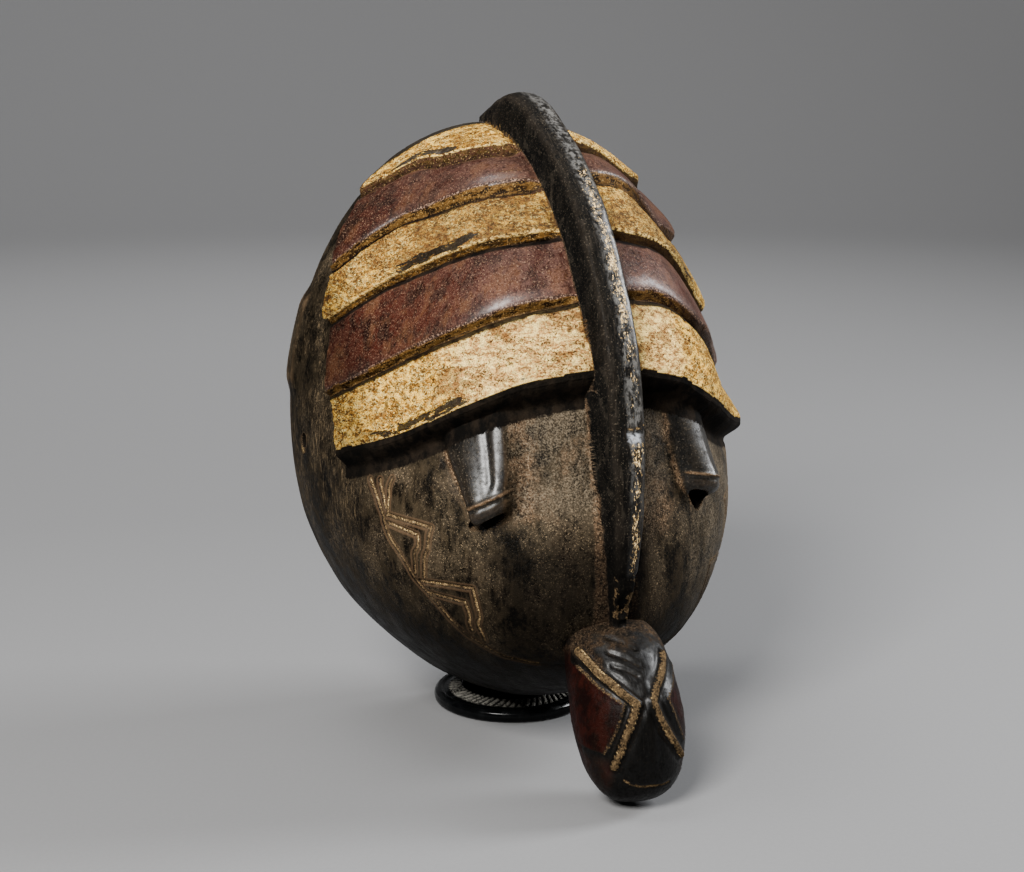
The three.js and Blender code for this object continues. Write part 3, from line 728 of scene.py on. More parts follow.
def body_marks(mesh, signed, z, p, marks):
    """Paints the marks of the body: colours, the painted shadow under the brow, pale lines, dust, gloss and
    chips.
    """
    cream, red, on_cap, hooded, up, across, band = [
        marks[name] for name in ("cream", "red", "on_cap", "hood", "up", "u", "band")]
    ragged = layered(p, 5, 3, 120)
    x = np.abs(p[:, 0])
    left = p[:, 0] < 0
    chip = np.zeros_like(z)
    for k, low, high in CHIPPED_SPANS:
        span = ramp(signed, low, 8) * ramp(signed, high, -8)
        chip = np.maximum(chip, (band == k) * span)
    painted = (cream + red) * ~marks["step"]
    outline = bell(across - 1.06, 0.08) * ramp(up, -0.25, 0.1) * ramp(up, 1.0, -0.3) * (x < 75)
    lid_line = bell(up - 0.062, 0.018) * hooded * ramp(across, -1.2, 0.3)
    between = ramp(x, 50, -26) * ramp(z, 95, 40) * ramp(z, 188, -30) * (1 - on_cap)
    inner_eye = bell(x - 38.5, 8) * left * ramp(z, 116, 18) * ramp(z, 188, -10)
    beside_hood = bell(across + 1.3, 0.2) * ~left * ramp(up, -0.55, 0.15) * ramp(up, 1.3, -0.2)
    inner_eye = np.maximum(inner_eye, 1.1 * beside_hood) * (1 - on_cap)
    gloss = hooded * smooth((across + np.where(left, 0.9, 1.3)) / 0.2) * ramp(across, 0.97, -0.1)
    halo = bell(np.hypot(p[:, 1] - SIDE_HOLE_Y, z - SIDE_HOLE_Z), 5.5) * (x > SIDE_X)
    under_cap = smooth((band_line(0, signed) - BROW_CHAMFER - z) / 4 + 0.5)
    root = bell(np.maximum(x - 9, 0), 2.2) * (z > 70) * under_cap
    dust = [
        painted * ramp(marks["room"], 3.0 + 2.5 * ragged, -3) * 0.45,
        outline * 0.9,
        root * (0.85 + 0.5 * ragged),
        0.4 * bell(np.maximum(x - 9, 0), 2.5) * (band >= 0),
        halo * (0.8 + 0.4 * ragged),
        between * (0.42 + 0.5 * layered(p, 14, 3, 130, (1, 1, 2))),
        inner_eye * (0.7 + 0.5 * ragged) * (1 - gloss),
        lid_line * 0.9,
    ]
    pale_chip = 0.9 * bell(np.hypot(p[:, 1] - PALE_CHIP_Y, z - PALE_CHIP_Z), 3.2) * (x > SIDE_X)
    pale = np.maximum(marks["groove"], pale_chip)
    # the third channel of mark1 carries the painted shadow under the brow
    paint(mesh, "mark1", cream, red, marks["brow"], 0)
    paint(mesh, "mark2", pale, np.max(dust, 0), gloss * (1 - lid_line), 0)
    paint(mesh, "edge", marks["gap"] / EDGE_REACH, marks["above"], chip, 0)


def plain_marks(mesh, first, second):
    """The same marks all over a mesh."""
    for name, values in (("mark1", first), ("mark2", second), ("edge", (1, 0, 0, 0))):
        paint(mesh, name, *values)
    return mesh


def hollow_mesh():
    """What is hollowed out of the mask, with the facets of an adze."""
    low, high = BODY_BOTTOM + WALL, BODY_TOP - WALL
    turn = np.pi * np.arange(1, HOLLOW_ROWS) / HOLLOW_ROWS
    z = (low + high) / 2 - (high - low) / 2 * np.cos(turn)
    angle, level = np.meshgrid(np.radians(np.linspace(-90, 90, HOLLOW_AROUND)), z)
    p = body_point(angle, level, WALL)
    adze = 0.9 * noise(p, 15, 200, (1, 1, 1.5)) + 0.5 * np.abs(noise(p, 8, 201, (1, 1, 1.6)))
    inner = ramp(np.abs(angle), np.pi / 2, -0.1)[..., None]
    n = body_normal(angle, np.clip(level, BODY_BOTTOM + 20, BODY_TOP - 20))
    p = p - n * (adze[..., None] * inner)
    flare = smooth((p[..., 1] - RIM_Y + 5) / 5) * 1.6
    p[..., 0] *= 1 + flare / np.maximum(np.abs(p[..., 0]), 8)
    half = p[:, -1, 0]
    back = np.stack([columns(half * share, RIM_Y + 20, z) for share in (1, 0.5, 0, -0.5, -1)], 1)
    return plain_marks(tube("hollow", np.concatenate([p, back], 1)), (0, 0, 0, 0), (0, 0, 0, 1))


def even(values):
    """Evens out numbers along a path and keeps its ends."""
    kernel = np.hanning(15)
    kernel /= kernel.sum()
    before, after = 2 * values[0] - values[7:0:-1], 2 * values[-1] - values[-2:-9:-1]
    return np.convolve(np.concatenate([before, values, after]), kernel, "valid")


def bar_mesh():
    """Bar: a rounded section carried along the crest line, worn, scarred and damaged below."""
    index = np.arange(len(CREST_Y), dtype=float)
    length = np.concatenate([[0], np.cumsum(np.hypot(np.diff(CREST_Y), np.diff(CREST_Z)))])
    s = np.linspace(0, length[-1], BAR_ROWS)
    y, z = curve(length, CREST_Y)(s), curve(length, CREST_Z)(s)
    w = even(np.interp(np.interp(s, length, index), index, BAR_HALF))
    ty, tz = even(np.gradient(y)), even(np.gradient(z))
    size = np.hypot(ty, tz)
    out_y, out_z = tz[:, None] / size[:, None], -ty[:, None] / size[:, None]
    section = BAR_SIDE + [(0, 0)] + [(-a, b) for a, b in reversed(BAR_SIDE)]
    side_of, depth = np.array(section, float).T[:, None, :]
    s, height = s[:, None], z[:, None]
    deep = np.broadcast_to(depth, (BAR_ROWS, len(section)))
    flare = 0.9 * ramp(-deep, 13, 12) * ramp(s, length[-1], -30)
    half = w[:, None] * side_of + np.sign(side_of) * flare
    place = columns(half, y[:, None] + out_y * deep, height + out_z * deep)

    # Waves, nicks, worn arris, scar and damage
    crest = ramp(deep, -7, 7)
    wave = 0.4 * noise(place, 17, 210) + 0.2 * noise(place, 5, 211, (1, 3, 3))
    nick = ramp(layered(place, 6, 2, 212), 0.42, 0.2) * crest * 0.7
    arris = bell(side_of - 0.36, 0.36) * ramp(s, 60, 30) * (deep > -8)
    worn = layered(place, 4.2, 3, 213, (1, 3.0, 3.0)) + 0.55 * arris
    worn = ramp(worn, 0.5, 0.12) * (arris > 0.05)
    notch = height - SCAR_Z - 3.2 * np.abs(side_of - 0.3)
    slope = np.clip((notch + 6) / 6, 0, 1) * (notch < 0)
    scar = (bell(notch, 0.9) * 0.5 + 1.3 * slope) * crest * ramp(np.abs(side_of - 0.42), 0.6, -0.2)
    damage = ramp(height, DAMAGE_LOW, 3) * ramp(height, DAMAGE_HIGH, -5) * crest
    drop = 0.6 * nick + 0.25 * worn + scar - wave + damage * (1.1 + 1.5 * layered(place, 3.2, 2, 214))
    place[..., 0] -= np.sign(side_of) * smooth(-deep / 4) * drop * 0.6
    lift = np.where(np.abs(side_of) < 1.05, -drop, 0)
    place[..., 1] += out_y * lift
    place[..., 2] += out_z * lift
    place[:5, :, 1] = np.minimum(place[:5, :, 1], RIM_Y + 1)
    mesh = tube("bar", place)

    # Dust in the corner beside the bar, pale damage and scar, gloss that also places a painted grey sheen, a
    # painted highlight on the slope under the scar, and the flaked right arris
    level = np.clip(place[..., 2], 60, 292)
    angle = np.full(level.shape, 0.08)
    off = ((place - bare(angle, level)) * body_normal(angle, level)).sum(-1)
    off = off - np.interp(level, BESIDE_Z, BESIDE) * (level > 186)
    ragged = layered(place, 7, 2, 215)
    dust = ramp(off, 2.0 + 1.6 * ragged, -2.4) * (0.3 + 0.5 * ramp(height, 200, -20))
    pale = np.maximum(
        0.66 * damage * ramp(layered(place, 2.4, 2, 217), -0.05, 0.3),
        bell(notch - 1.0, 0.6) * crest * (np.abs(side_of) < 0.9) * (side_of > -0.1),
    )
    at_right = 0.98 * ramp(side_of, -0.3, 0.4) * ramp(side_of, 1.0, -0.4)
    shiny = crest * (1 - damage) * (0.02 + at_right)
    patchy = 0.45 + 0.55 * ramp(noise(place, 20, 216, (1, 1, 1.6)), -0.4, 0.6)
    flaky = arris * patchy * ramp(height, 292, -14) * ramp(height, 92, 16)
    # painted highlight on the slope under the scar, kept in the chip channel of edge
    scar_highlight = ramp(-notch, 0.5, 0.8) * ramp(notch, -5.6, 1.6) * crest
    scar_highlight = scar_highlight * ramp(side_of, -0.16, 0.14) * ramp(side_of, 0.7, -0.14)
    paint(mesh, "mark1", 0, 0, 0, 1)
    paint(mesh, "mark2", pale, dust, shiny, 0)
    paint(mesh, "edge", 1, 0, scar_highlight, flaky)
    return mesh


head_front, head_back, head_half = [
    curve(HEAD_Z[::-1], values[::-1]) for values in (HEAD_FRONT, HEAD_BACK, HEAD_HALF)]


def head_point(a, z):
    s, c = np.sin(a), np.cos(a)
    f, b, h = head_front(z), head_back(z), head_half(z)
    widest = f + (b - f) * 0.52
    reach = np.where(c > 0, widest - f, b - widest)
    bulge = np.where(c > 0, np.abs(c) ** 1.15, np.abs(c) ** 0.8)
    return columns(h * np.sign(s) * np.abs(s) ** HEAD_SQUARE, widest - np.sign(c) * reach * bulge, z)


def on_head(line):
    """Points along a line on the front of the head, given as places across and heights."""
    x, z = walk(line, 0.3).T
    s = np.clip(np.abs(x) / head_half(z), 0, 0.999) ** (1 / HEAD_SQUARE)
    return head_point(np.arcsin(s) * np.sign(x), z)


def head_mesh():
    """Animal head with two cords, planes with raised edges, a wrinkled brow and a muzzle line."""
    turn = np.pi * np.linspace(0.03, 0.97, HEAD_ROWS)
    level = HEAD_LOW + (HEAD_HIGH - HEAD_LOW) * (1 - np.cos(turn)) / 2
    level = np.concatenate([[HEAD_LOW], level, [HEAD_HIGH]])
    a = np.linspace(-np.pi, np.pi, HEAD_AROUND, endpoint=False)
    a, z = np.meshgrid(a - 0.35 * np.sin(a), level)
    p = head_point(a, z)
    across = head_point(a + 0.01, z) - head_point(a - 0.01, z)
    safe = np.clip(z, HEAD_LOW + 0.6, HEAD_HIGH - 0.6)
    up = head_point(a, safe + 0.3) - head_point(a, safe - 0.3)
    n = np.cross(across, up)
    n /= np.maximum(np.linalg.norm(n, axis=-1, keepdims=True), 1e-9)
    skin, x = p, p[..., 0]
    front = np.cos(a) > 0.05

    def line_gap(line, reach):
        """Distance to a line on the front of the head, no more than reach."""
        return np.where(front, nearest(skin, on_head(line), reach), reach)

    relief, cream, pink, wrinkle, edge_highlight, outer = [np.zeros_like(z) for _ in range(6)]
    for cord, edge, side in zip(CORDS, PLANE_EDGES, SIDES):
        d, e = line_gap(cord, 8.0), line_gap(edge, 8.0)
        relief += 1.35 * smooth(1 - (d - 0.7) / 1.6) - 0.55 * bell(d - 3.5, 1.1)
        relief += 0.55 * smooth(1 - (e - 0.3) / 1.2)
        cream = np.maximum(cream, ramp(d, 2.2, -0.6))
        edge_highlight = np.maximum(edge_highlight, bell(d - 1.6, 0.5))
        pink = np.maximum(pink, ramp(e, 1.5, -0.8))
        edge_x, edge_z = np.abs(np.array(edge[::-1], float)).T
        limit = np.interp(z, edge_z, edge_x, left=40, right=40)
        outer = np.maximum(outer, ramp(x * side, limit, 0.6) * (z > 28) * (z < 64))
    for line in WRINKLES:
        wrinkle = np.maximum(wrinkle, bell(line_gap(line, 5.0), 1.35))
    muzzle = bell(line_gap(MUZZLE_LINE, 5.0), 0.9)
    relief -= 1.15 * wrinkle
    relief += 0.9 * bell(x, 2.6) * ramp(z, 22, 10) * ramp(z, 66, -8) * front
    relief -= 0.5 * muzzle
    relief -= 0.45 * bell(line_gap(FOREHEAD_CUT, 4.0), 0.9)
    relief += 0.35 * noise(p, 13, 220) + 0.12 * layered(p, 4, 2, 221)
    fade = ramp(z, HEAD_LOW, 2.5) * ramp(z, HEAD_HIGH, -3)
    p = p + n * (relief * fade)[..., None]
    p[..., 2] = np.clip(p[..., 2], HEAD_LOW - 0.3, HEAD_HIGH + 2)
    mesh = tube("head", p)

    below = ramp(z, 30, -6) * (np.abs(x) > 8) * ramp(np.abs(x), 15, 3)
    behind = ~front * ramp(z, 8, 8) * ramp(z, 72, -6)
    red = np.clip(outer + 0.7 * below + 0.6 * behind, 0, 1)
    ragged = layered(p, 4, 2, 222)
    crown = smooth((z - 71 + 3 * ragged) / 5)
    shoulder = smooth((z - 62 + 4 * ragged) / 8) * ramp(np.abs(x), 11, 5)
    dust = np.maximum(crown, shoulder) * (0.7 + 0.5 * ragged)
    pale = [
        cream * (0.6 + 0.08 * ragged),
        0.8 * muzzle * ramp(ragged, -0.7, 0.4),
        # paler tan along both sides of each cord: a painted highlight on the cord edges
        0.9 * edge_highlight * ramp(ragged, -0.5, 0.6),
        0.5 * pink,
    ]
    shiny = front * (1 - cream) * (0.33 - 0.31 * outer)
    paint(mesh, "mark1", 0, 0.9 * red * (1 - cream), 0, (1 - red) * (1 - crown))
    paint(mesh, "mark2", np.max(pale, 0), dust, shiny, 0)
    paint(mesh, "edge", 1, 0, 0, 0)
    return mesh


def slot_mesh(side):
    """What is cut out for a sight slot: an oval, or a drop where it is pointed."""
    a = circle(40)
    rings = []
    for y, lift in SLOT_LIFT:
        across = SLOT_HALF_WIDTH[side] * np.cos(a) * (1 + SLOT_POINTED[side] * np.sin(a))
        z = LID_Z[side] - SLOT_DROP[side] + lift + SLOT_HALF_HEIGHT[side] * np.sin(a)
        rings.append(columns(side * (EYE_X[side] + SLOT_OUT[side] + across), y, z - LID_SLANT[side] * across))
    # the cut faces of the slot carry a painted shade mark, so they come out black
    return plain_marks(tube("slot", np.array(rings)), (0, 0, 0.9, 0), (0, 0, 0, 0))


def side_hole_mesh(side):
    """What is cut out for a cord hole, wider at its mouth and worn upwards."""
    a = circle(28)
    rings = []
    for x, r in SIDE_HOLE_RADII:
        rings.append(columns(side * x, SIDE_HOLE_Y + r * np.cos(a), SIDE_HOLE_Z + r * np.sin(a) * 1.35))
    # the cut faces of the hole carry a painted shade mark, so they come out black
    return plain_marks(tube("side_hole", np.array(rings)), (0, 0, 1, 0), (0, 0, 0, 0))


def base_mesh():
    """Turned disc with a rounded lip and a ring of slanting notches."""
    profile = np.array(BASE_PROFILE, float)
    length = np.concatenate([[0], np.cumsum(np.hypot(*np.diff(profile, axis=0).T))])
    parts = [np.linspace(length[i], length[i + 1], n, endpoint=False) for i, n in enumerate(BASE_STEPS)]
    s = np.concatenate(parts)[1:]
    r, z = [np.interp(s, length, values) for values in profile.T]
    for _ in range(2):
        for values in (r, z):
            values[1:-1] = np.convolve(values, np.array([1, 2, 1]) / 4.0, "valid")
    a, r = np.meshgrid(circle(BASE_AROUND), r)
    z = np.repeat(np.clip(z, 0, BASE_TOP)[:, None], BASE_AROUND, 1)
    ring = ramp(r, NOTCH_INNER, 1.2) * ramp(r, NOTCH_OUTER, -1.2) * (z > BASE_TOP / 2)
    slant = a * NOTCHES / (2 * np.pi) + (r - 30) * 0.16
    p = columns(r * np.cos(a), r * np.sin(a), z)
    turn = (slant + 0.14 * noise(p, 9, 300)) % 1.0
    cut = ramp(np.abs(turn - 0.5), 0.2, 0.16)
    p[..., 2] -= ring * (0.95 * cut * (0.75 + 0.35 * noise(p, 6, 301)))
    p[..., 2] = np.where(z < 0.01, 0, p[..., 2])
    mesh = tube("base", p)
    paint(mesh, "mark1", ring * (1 - cut), ring * cut, 0, 1)
    return mesh


def combine(target, other, operation):
    """Joins another solid to the target or cuts it out, and deletes it."""
    modifier = target.modifiers.new("join", "BOOLEAN")
    modifier.operation = operation
    modifier.solver = "MANIFOLD"
    modifier.object = other
    bpy.context.view_layer.update()
    done = target.evaluated_get(bpy.context.evaluated_depsgraph_get())
    mesh = bpy.data.meshes.new_from_object(done)
    target.modifiers.clear()
    old, spare = target.data, other.data
    target.data = mesh
    bpy.data.objects.remove(other)
    bpy.data.meshes.remove(old)
    bpy.data.meshes.remove(spare)


def mend_marks(mesh):
    """Gives the points made by the booleans the mean marks of the points around them."""
    n = len(mesh.vertices)
    edges = read(mesh.edges, "vertices", 2, np.int32)
    ends = np.concatenate([edges, edges[:, ::-1]])
    layers = {name: mesh.attributes[name].data for name in ("mark1", "mark2", "edge")}
    marks = {name: read(layer, "color", 4) for name, layer in layers.items()}
    lost = marks["mark1"][:, :2].min(1) > 0.9
    found = lost
    while lost.any() and found.any():
        use = ends[lost[ends[:, 0]] & ~lost[ends[:, 1]]]
        count = np.bincount(use[:, 0], None, n)
        found = count > 0
        for values in marks.values():
            for channel in range(4):
                total = np.bincount(use[:, 0], values[use[:, 1], channel], n)
                values[found, channel] = total[found] / count[found]
        lost &= ~found
    for name, values in marks.items():
        layers[name].foreach_set("color", values.ravel())


def soften(mesh):
    """Writes how hollow or sharp each point is, near by and wider, as the attribute bend."""
    n = len(mesh.vertices)
    co = read(mesh.vertices, "co", 3) / MM
    normals = read(mesh.vertex_normals, "vector", 3)
    a, b = read(mesh.edges, "vertices", 2, np.int32).T

    def gathered(at_a, at_b):
        """Sum at each point of what its edges bring."""
        return np.bincount(a, at_a, n) + np.bincount(b, at_b, n)

    gap = np.linalg.norm(co[a] - co[b], axis=1)
    weight = 1 / np.maximum(gap, 0.3)
    total = np.maximum(gathered(weight, weight), 1e-9)[:, None]
    bends = []
    q = co.astype(float)
    for step in range(1, WIDE_STEPS + 1):
        mean = columns(*[gathered(weight * q[b, axis], weight * q[a, axis]) for axis in range(3)]) / total
        q = 0.5 * q + 0.5 * mean
        if step in (FINE_STEPS, WIDE_STEPS):
            bends.append(((q - co) * normals).sum(1))
    spacing = gathered(gap, gap) / np.maximum(gathered(None, None), 1)
    flat_share = np.minimum(1, (0.9 / np.maximum(spacing, 0.3)) ** 2)
    fine, wide = [bend * flat_share for bend in bends]
    paint(mesh, "bend", 0.5 + fine * 1.6, 0.5 + wide * 0.55, 0, 1)


def shade_smooth(mesh, degrees):
    mesh.polygons.foreach_set("use_smooth", np.ones(len(mesh.polygons), bool))
    mesh.set_sharp_from_angle(angle=math.radians(degrees))


# Material graphs
class Value:
    """A number that the nodes of a material work out, added and multiplied with the usual signs."""

    def __init__(self, graph, socket):
        self.graph = graph
        self.socket = socket

    def __add__(self, other):
        return self.graph.math("ADD", self, other)

    def __sub__(self, other):
        return self.graph.math("SUBTRACT", self, other)

    def __rsub__(self, other):
        return self.graph.math("SUBTRACT", other, self)

    def __mul__(self, other):
        return self.graph.math("MULTIPLY", self, other)

    def __abs__(self):
        return self.graph.math("ABSOLUTE", self, 0.0)

    def band(self, low, high, out_low=0.0, out_high=1.0):
        """Eases from out_low, where the number is low, to out_high, where it is high."""
        made = self.graph.node("ShaderNodeMapRange", interpolation_type="SMOOTHSTEP")
        limits = {"Value": self, "From Min": low, "From Max": high, "To Min": out_low, "To Max": out_high}
        for name, limit in limits.items():
            self.graph.put(made.inputs[name], limit)
        return Value(self.graph, made.outputs["Result"])


class Graph:
    """A material's nodes, made by short calls."""

    def __init__(self, name):
        self.material = bpy.data.materials.new(name)
        self.material.use_nodes = True
        self.tree = self.material.node_tree
        self.shader = self.tree.nodes["Principled BSDF"]
        self.place = self.node("ShaderNodeTexCoord").outputs["Object"]

    def node(self, kind, **settings):
        made = self.tree.nodes.new(kind)
        for key, value in settings.items():
            setattr(made, key, value)
        return made

    def put(self, socket, value):
        """Links a socket to a node's output, or gives it a plain number or colour."""
        if isinstance(value, Value):
            value = value.socket
        if isinstance(value, bpy.types.NodeSocket):
            self.tree.links.new(value, socket)
        elif isinstance(value, tuple):
            socket.default_value = (*value, 1)
        else:
            socket.default_value = value

    def math(self, operation, a, b):
        made = self.node("ShaderNodeMath", operation=operation)
        self.put(made.inputs[0], a)
        self.put(made.inputs[1], b)
        return Value(self, made.outputs[0])

    def top(self, *values):
        """The largest of some numbers."""
        most = values[0]
        for value in values[1:]:
            most = self.math("MAXIMUM", most, value)
        return most

    def mixed(self, data_type, socket_type, share, a, b):
        made = self.node("ShaderNodeMix", data_type=data_type)
        self.put(made.inputs["Factor"], share)
        pair = [s for s in made.inputs if s.type == socket_type and s.name in "AB"]
        self.put(pair[0], a)
        self.put(pair[1], b)
        return [s for s in made.outputs if s.type == socket_type][0]

    def mix(self, share, a, b):
        """Colour between a and b."""
        return self.mixed("RGBA", "RGBA", share, a, b)

    def blend(self, share, a, b):
        """Number between a and b."""
        return Value(self, self.mixed("FLOAT", "VALUE", share, a, b))

    def layers(self, ground, *coats):
        """A ground colour under coats, each one a share and a colour."""
        for share, colour in coats:
            ground = self.mix(share, ground, colour)
        return ground

    def noise(self, size_mm, detail=3.0, rough=0.55, stretch=(1, 1, 1), move=0.0, warp=0.0, place=None):
        where = self.node("ShaderNodeMapping", vector_type="POINT")
        self.put(where.inputs["Vector"], place or self.place)
        where.inputs["Scale"].default_value = tuple(1.0 / s for s in stretch)
        where.inputs["Location"].default_value = (move, move * 0.7, -move * 0.4)
        made = self.node("ShaderNodeTexNoise", noise_dimensions="3D")
        self.put(made.inputs["Vector"], where.outputs[0])
        settings = {"Scale": 1000.0 / size_mm, "Detail": detail, "Roughness": rough, "Distortion": warp}
        for name, value in settings.items():
            made.inputs[name].default_value = value
        return Value(self, made.outputs[0])

    def veins(self, value, width):
        """Thin curling lines where a noise passes its middle value."""
        return abs(value - 0.5).band(width, width * 0.35)

    def marks(self, name):
        """The four channels of a mesh's painted marks."""
        made = self.node("ShaderNodeAttribute", attribute_name=name)
        split = self.node("ShaderNodeSeparateColor")
        self.put(split.inputs[0], made.outputs["Color"])
        return [Value(self, socket) for socket in (*split.outputs[:3], made.outputs["Alpha"])]

    def bump(self, height, distance_mm, strength):
        made = self.node("ShaderNodeBump")
        self.put(made.inputs["Height"], height)
        made.inputs["Distance"].default_value = distance_mm * MM
        made.inputs["Strength"].default_value = strength
        self.put(self.shader.inputs["Normal"], made.outputs[0])


# Colours of the mask, as linear red, green and blue: face and side strip
NIGHT = (0.002, 0.0016, 0.001)
UMBER = (0.019, 0.0138, 0.0078)
SMOKE = (0.034, 0.024, 0.0135)
ASH = (0.052, 0.039, 0.0245)
STRAW = (0.2, 0.145, 0.085)

# Brown dust, worn edges, and grey powder that is also a painted sheen between the eyes
EARTH_DARK = (0.014, 0.0075, 0.004)
EARTH = (0.095, 0.058, 0.032)
EARTH_CRUMB = (0.28, 0.19, 0.115)
WORN_EDGE = (0.075, 0.045, 0.024)
POWDER_AND_SHEEN = (0.11, 0.088, 0.06)

# Bar and polished blacks, with the painted grey sheen of the bar
JET = (0.001, 0.0009, 0.0008)
COAL = (0.0045, 0.0038, 0.003)
BRUSHED = (0.02, 0.0165, 0.012)
BLACK_CRUMB = (0.13, 0.105, 0.075)
SHEEN_GREY = (0.085, 0.082, 0.077)
BAR_EDGE = (0.07, 0.05, 0.032)

# Oxblood bands
BLOOD_DARK = (0.005, 0.0012, 0.0008)
BLOOD = (0.025, 0.0055, 0.003)
# mauve of the middle of the cap: dust and painted sheen
MAUVE_DARK = (0.03, 0.0125, 0.0095)
MAUVE = (0.088, 0.045, 0.035)
TAWNY = (0.08, 0.033, 0.014)
DRIED = (0.003, 0.0015, 0.001)
BLOOD_VEIN = (0.12, 0.07, 0.047)
BLOOD_CRUMB = (0.24, 0.155, 0.1)
BLOOD_PIT = (0.005, 0.002, 0.0015)
CRIMSON_DARK = (0.009, 0.001, 0.0006)
CRIMSON = (0.037, 0.0036, 0.0018)
BLOOD_DUST = (0.075, 0.036, 0.017)

# Cream bands
OCHRE_DARK = (0.075, 0.032, 0.006)
OCHRE = (0.42, 0.2, 0.03)
PINK_DARK = (0.19, 0.088, 0.03)
PINK = (0.52, 0.285, 0.09)
GOLD_FLAKE = (0.96, 0.58, 0.085)
PINK_FLAKE = (1.0, 0.74, 0.25)
SHARD = (0.98, 0.76, 0.27)
RUST_BLOTCH = (0.14, 0.054, 0.011)
PIT = (0.022, 0.01, 0.004)
CRUST_HOLE = (0.045, 0.02, 0.006)
CRUST_HOLLOW = (0.05, 0.022, 0.007)
CRUST_DUST = (0.11, 0.05, 0.015)
DUSK = (0.05, 0.034, 0.019)

# Steps under the bands, darker on the right as painted shade
RUST_DARK = (0.006, 0.003, 0.0012)
RUST = (0.08, 0.04, 0.0095)
RUST_CRUMB = (0.36, 0.22, 0.07)
RUST_SHADE_RIGHT = (0.012, 0.005, 0.003)
STEP_DARK = (0.012, 0.0055, 0.0018)
STEP_GOLD = (0.13, 0.06, 0.012)
STEP_SPOT = (0.013, 0.006, 0.002)
MAROON_DARK = (0.008, 0.0035, 0.0025)
MAROON = (0.044, 0.019, 0.013)
STEP_CRUMB = (0.6, 0.4, 0.16)
STEP_SHADE_RIGHT = (0.012, 0.0055, 0.0025)
CRUST_RIM = (0.85, 0.58, 0.19)
ARRIS_DARK = (0.01, 0.004, 0.003)
ARRIS = (0.2, 0.13, 0.09)

# Black of the chips and of painted shade, pale lines and flakes, the painted highlight under the bar's scar,
# painted shade with darker wood, and fibres of the rims
BLACK_AND_SHADE_DARK = (0.0012, 0.001, 0.0008)
BLACK_AND_SHADE = (0.0075, 0.0052, 0.0034)
CHIP_CRUMB = (0.16, 0.13, 0.085)
TAN_DARK = (0.03, 0.019, 0.0095)
TAN = (0.115, 0.074, 0.036)
TAN_CRUMB = (0.6, 0.42, 0.19)
FLAKED_DARK = (0.2, 0.125, 0.05)
FLAKED = (0.72, 0.52, 0.26)
# painted highlight on the slope under the bar's scar
SCAR_HIGHLIGHT = (0.27, 0.28, 0.3)
# painted shade of the lower face, beside the bar and at the far left, and darker unpainted wood high on the
# cap
SHADE_AND_DARK = (0.0006, 0.0005, 0.0004)
FIBRE = (0.085, 0.06, 0.033)
STRIP_EDGE = (0.13, 0.085, 0.048)

# Bare wood
WOOD_DARK = (0.03, 0.016, 0.0085)
WOOD = (0.105, 0.062, 0.034)
WOOD_STAIN = (0.026, 0.015, 0.009)
WOOD_PALE = (0.15, 0.092, 0.052)

# Base
BASE_DARK = (0.0008, 0.0009, 0.001)
BASE_BLACK = (0.003, 0.0032, 0.0034)
BASE_GROOVE = (0.006, 0.0055, 0.005)
BASE_WORN = (0.2, 0.19, 0.165)


def wood_graph():
    """The marks, places and noises that the colours of the mask are worked out from."""
    w = Graph("carved_wood_patina")
    w.cream, w.red, w.shade, w.bar = w.marks("mark1")
    w.pale, w.dust, w.gloss, w.inside = w.marks("mark2")
    # the third channel of edge holds chips on the body and the painted highlight under the scar on the bar
    gap, w.above, w.chip, w.flaky = w.marks("edge")
    w.fine_bend, wide_bend = w.marks("bend")[:2]
    w.ridge = w.fine_bend.band(0.47, 0.32)
    w.hollow = wide_bend.band(0.54, 0.74)
    w.gap = gap * EDGE_REACH
    w.below = 1.0 - w.above
    spot = w.node("ShaderNodeSeparateXYZ")
    w.put(spot.inputs[0], w.place)
    w.x, w.z = Value(w, spot.outputs[0]), Value(w, spot.outputs[2])
    along = w.node("ShaderNodeCombineXYZ")
    signed_gap = w.gap * (w.above * 2.0 - 1.0) * MM
    for place, value in zip(along.inputs, (w.x, spot.outputs[1], signed_gap)):
        w.put(place, value)

    w.patch = w.noise(34, 4, 0.6)
    w.grain = w.noise(2.2, 5, 0.62, (1, 1, 7))
    w.speck = w.noise(1.7, 4, 0.66, move=0.31)
    w.grit = w.noise(0.75, 3, 0.65, move=0.77)
    w.mottle = w.noise(8, 6, 0.7, (1, 1, 1.5), move=0.13)
    w.drift = w.noise(17, 5, 0.66, (1, 1, 1.8), move=0.53)
    w.streak = w.noise(0.9, 4, 0.6, (1, 8, 8), move=0.37)
    w.lay = w.noise(0.9, 4, 0.6, (6, 6, 1), move=0.17, place=along.outputs[0])
    w.blot = w.noise(3.0, 4, 0.66, (4, 4, 1.1), move=0.07, place=along.outputs[0])
    w.flake = w.noise(3.4, 6, 0.76, (1.6, 1.6, 0.8), move=0.21)
    w.crumb = w.noise(1.3, 5, 0.74, (1.3, 1.3, 0.8), move=0.63)
    w.off_middle = abs(w.x + 0.01)
    dust_here = (w.dust + (w.mottle - 0.5) * 1.5).band(0.3, 0.85)
    dust_here = w.top(dust_here, w.hollow * 0.4 * (1.0 - w.gloss))
    w.dust_here = dust_here * w.speck.band(0.3, 0.52, 0.3, 1.0)
    w.earth = w.mix(w.speck.band(0.4, 0.58), EARTH_DARK, EARTH)
    w.earth = w.mix(w.grit.band(0.53, 0.62) * 0.7, w.earth, EARTH_CRUMB)
    return w


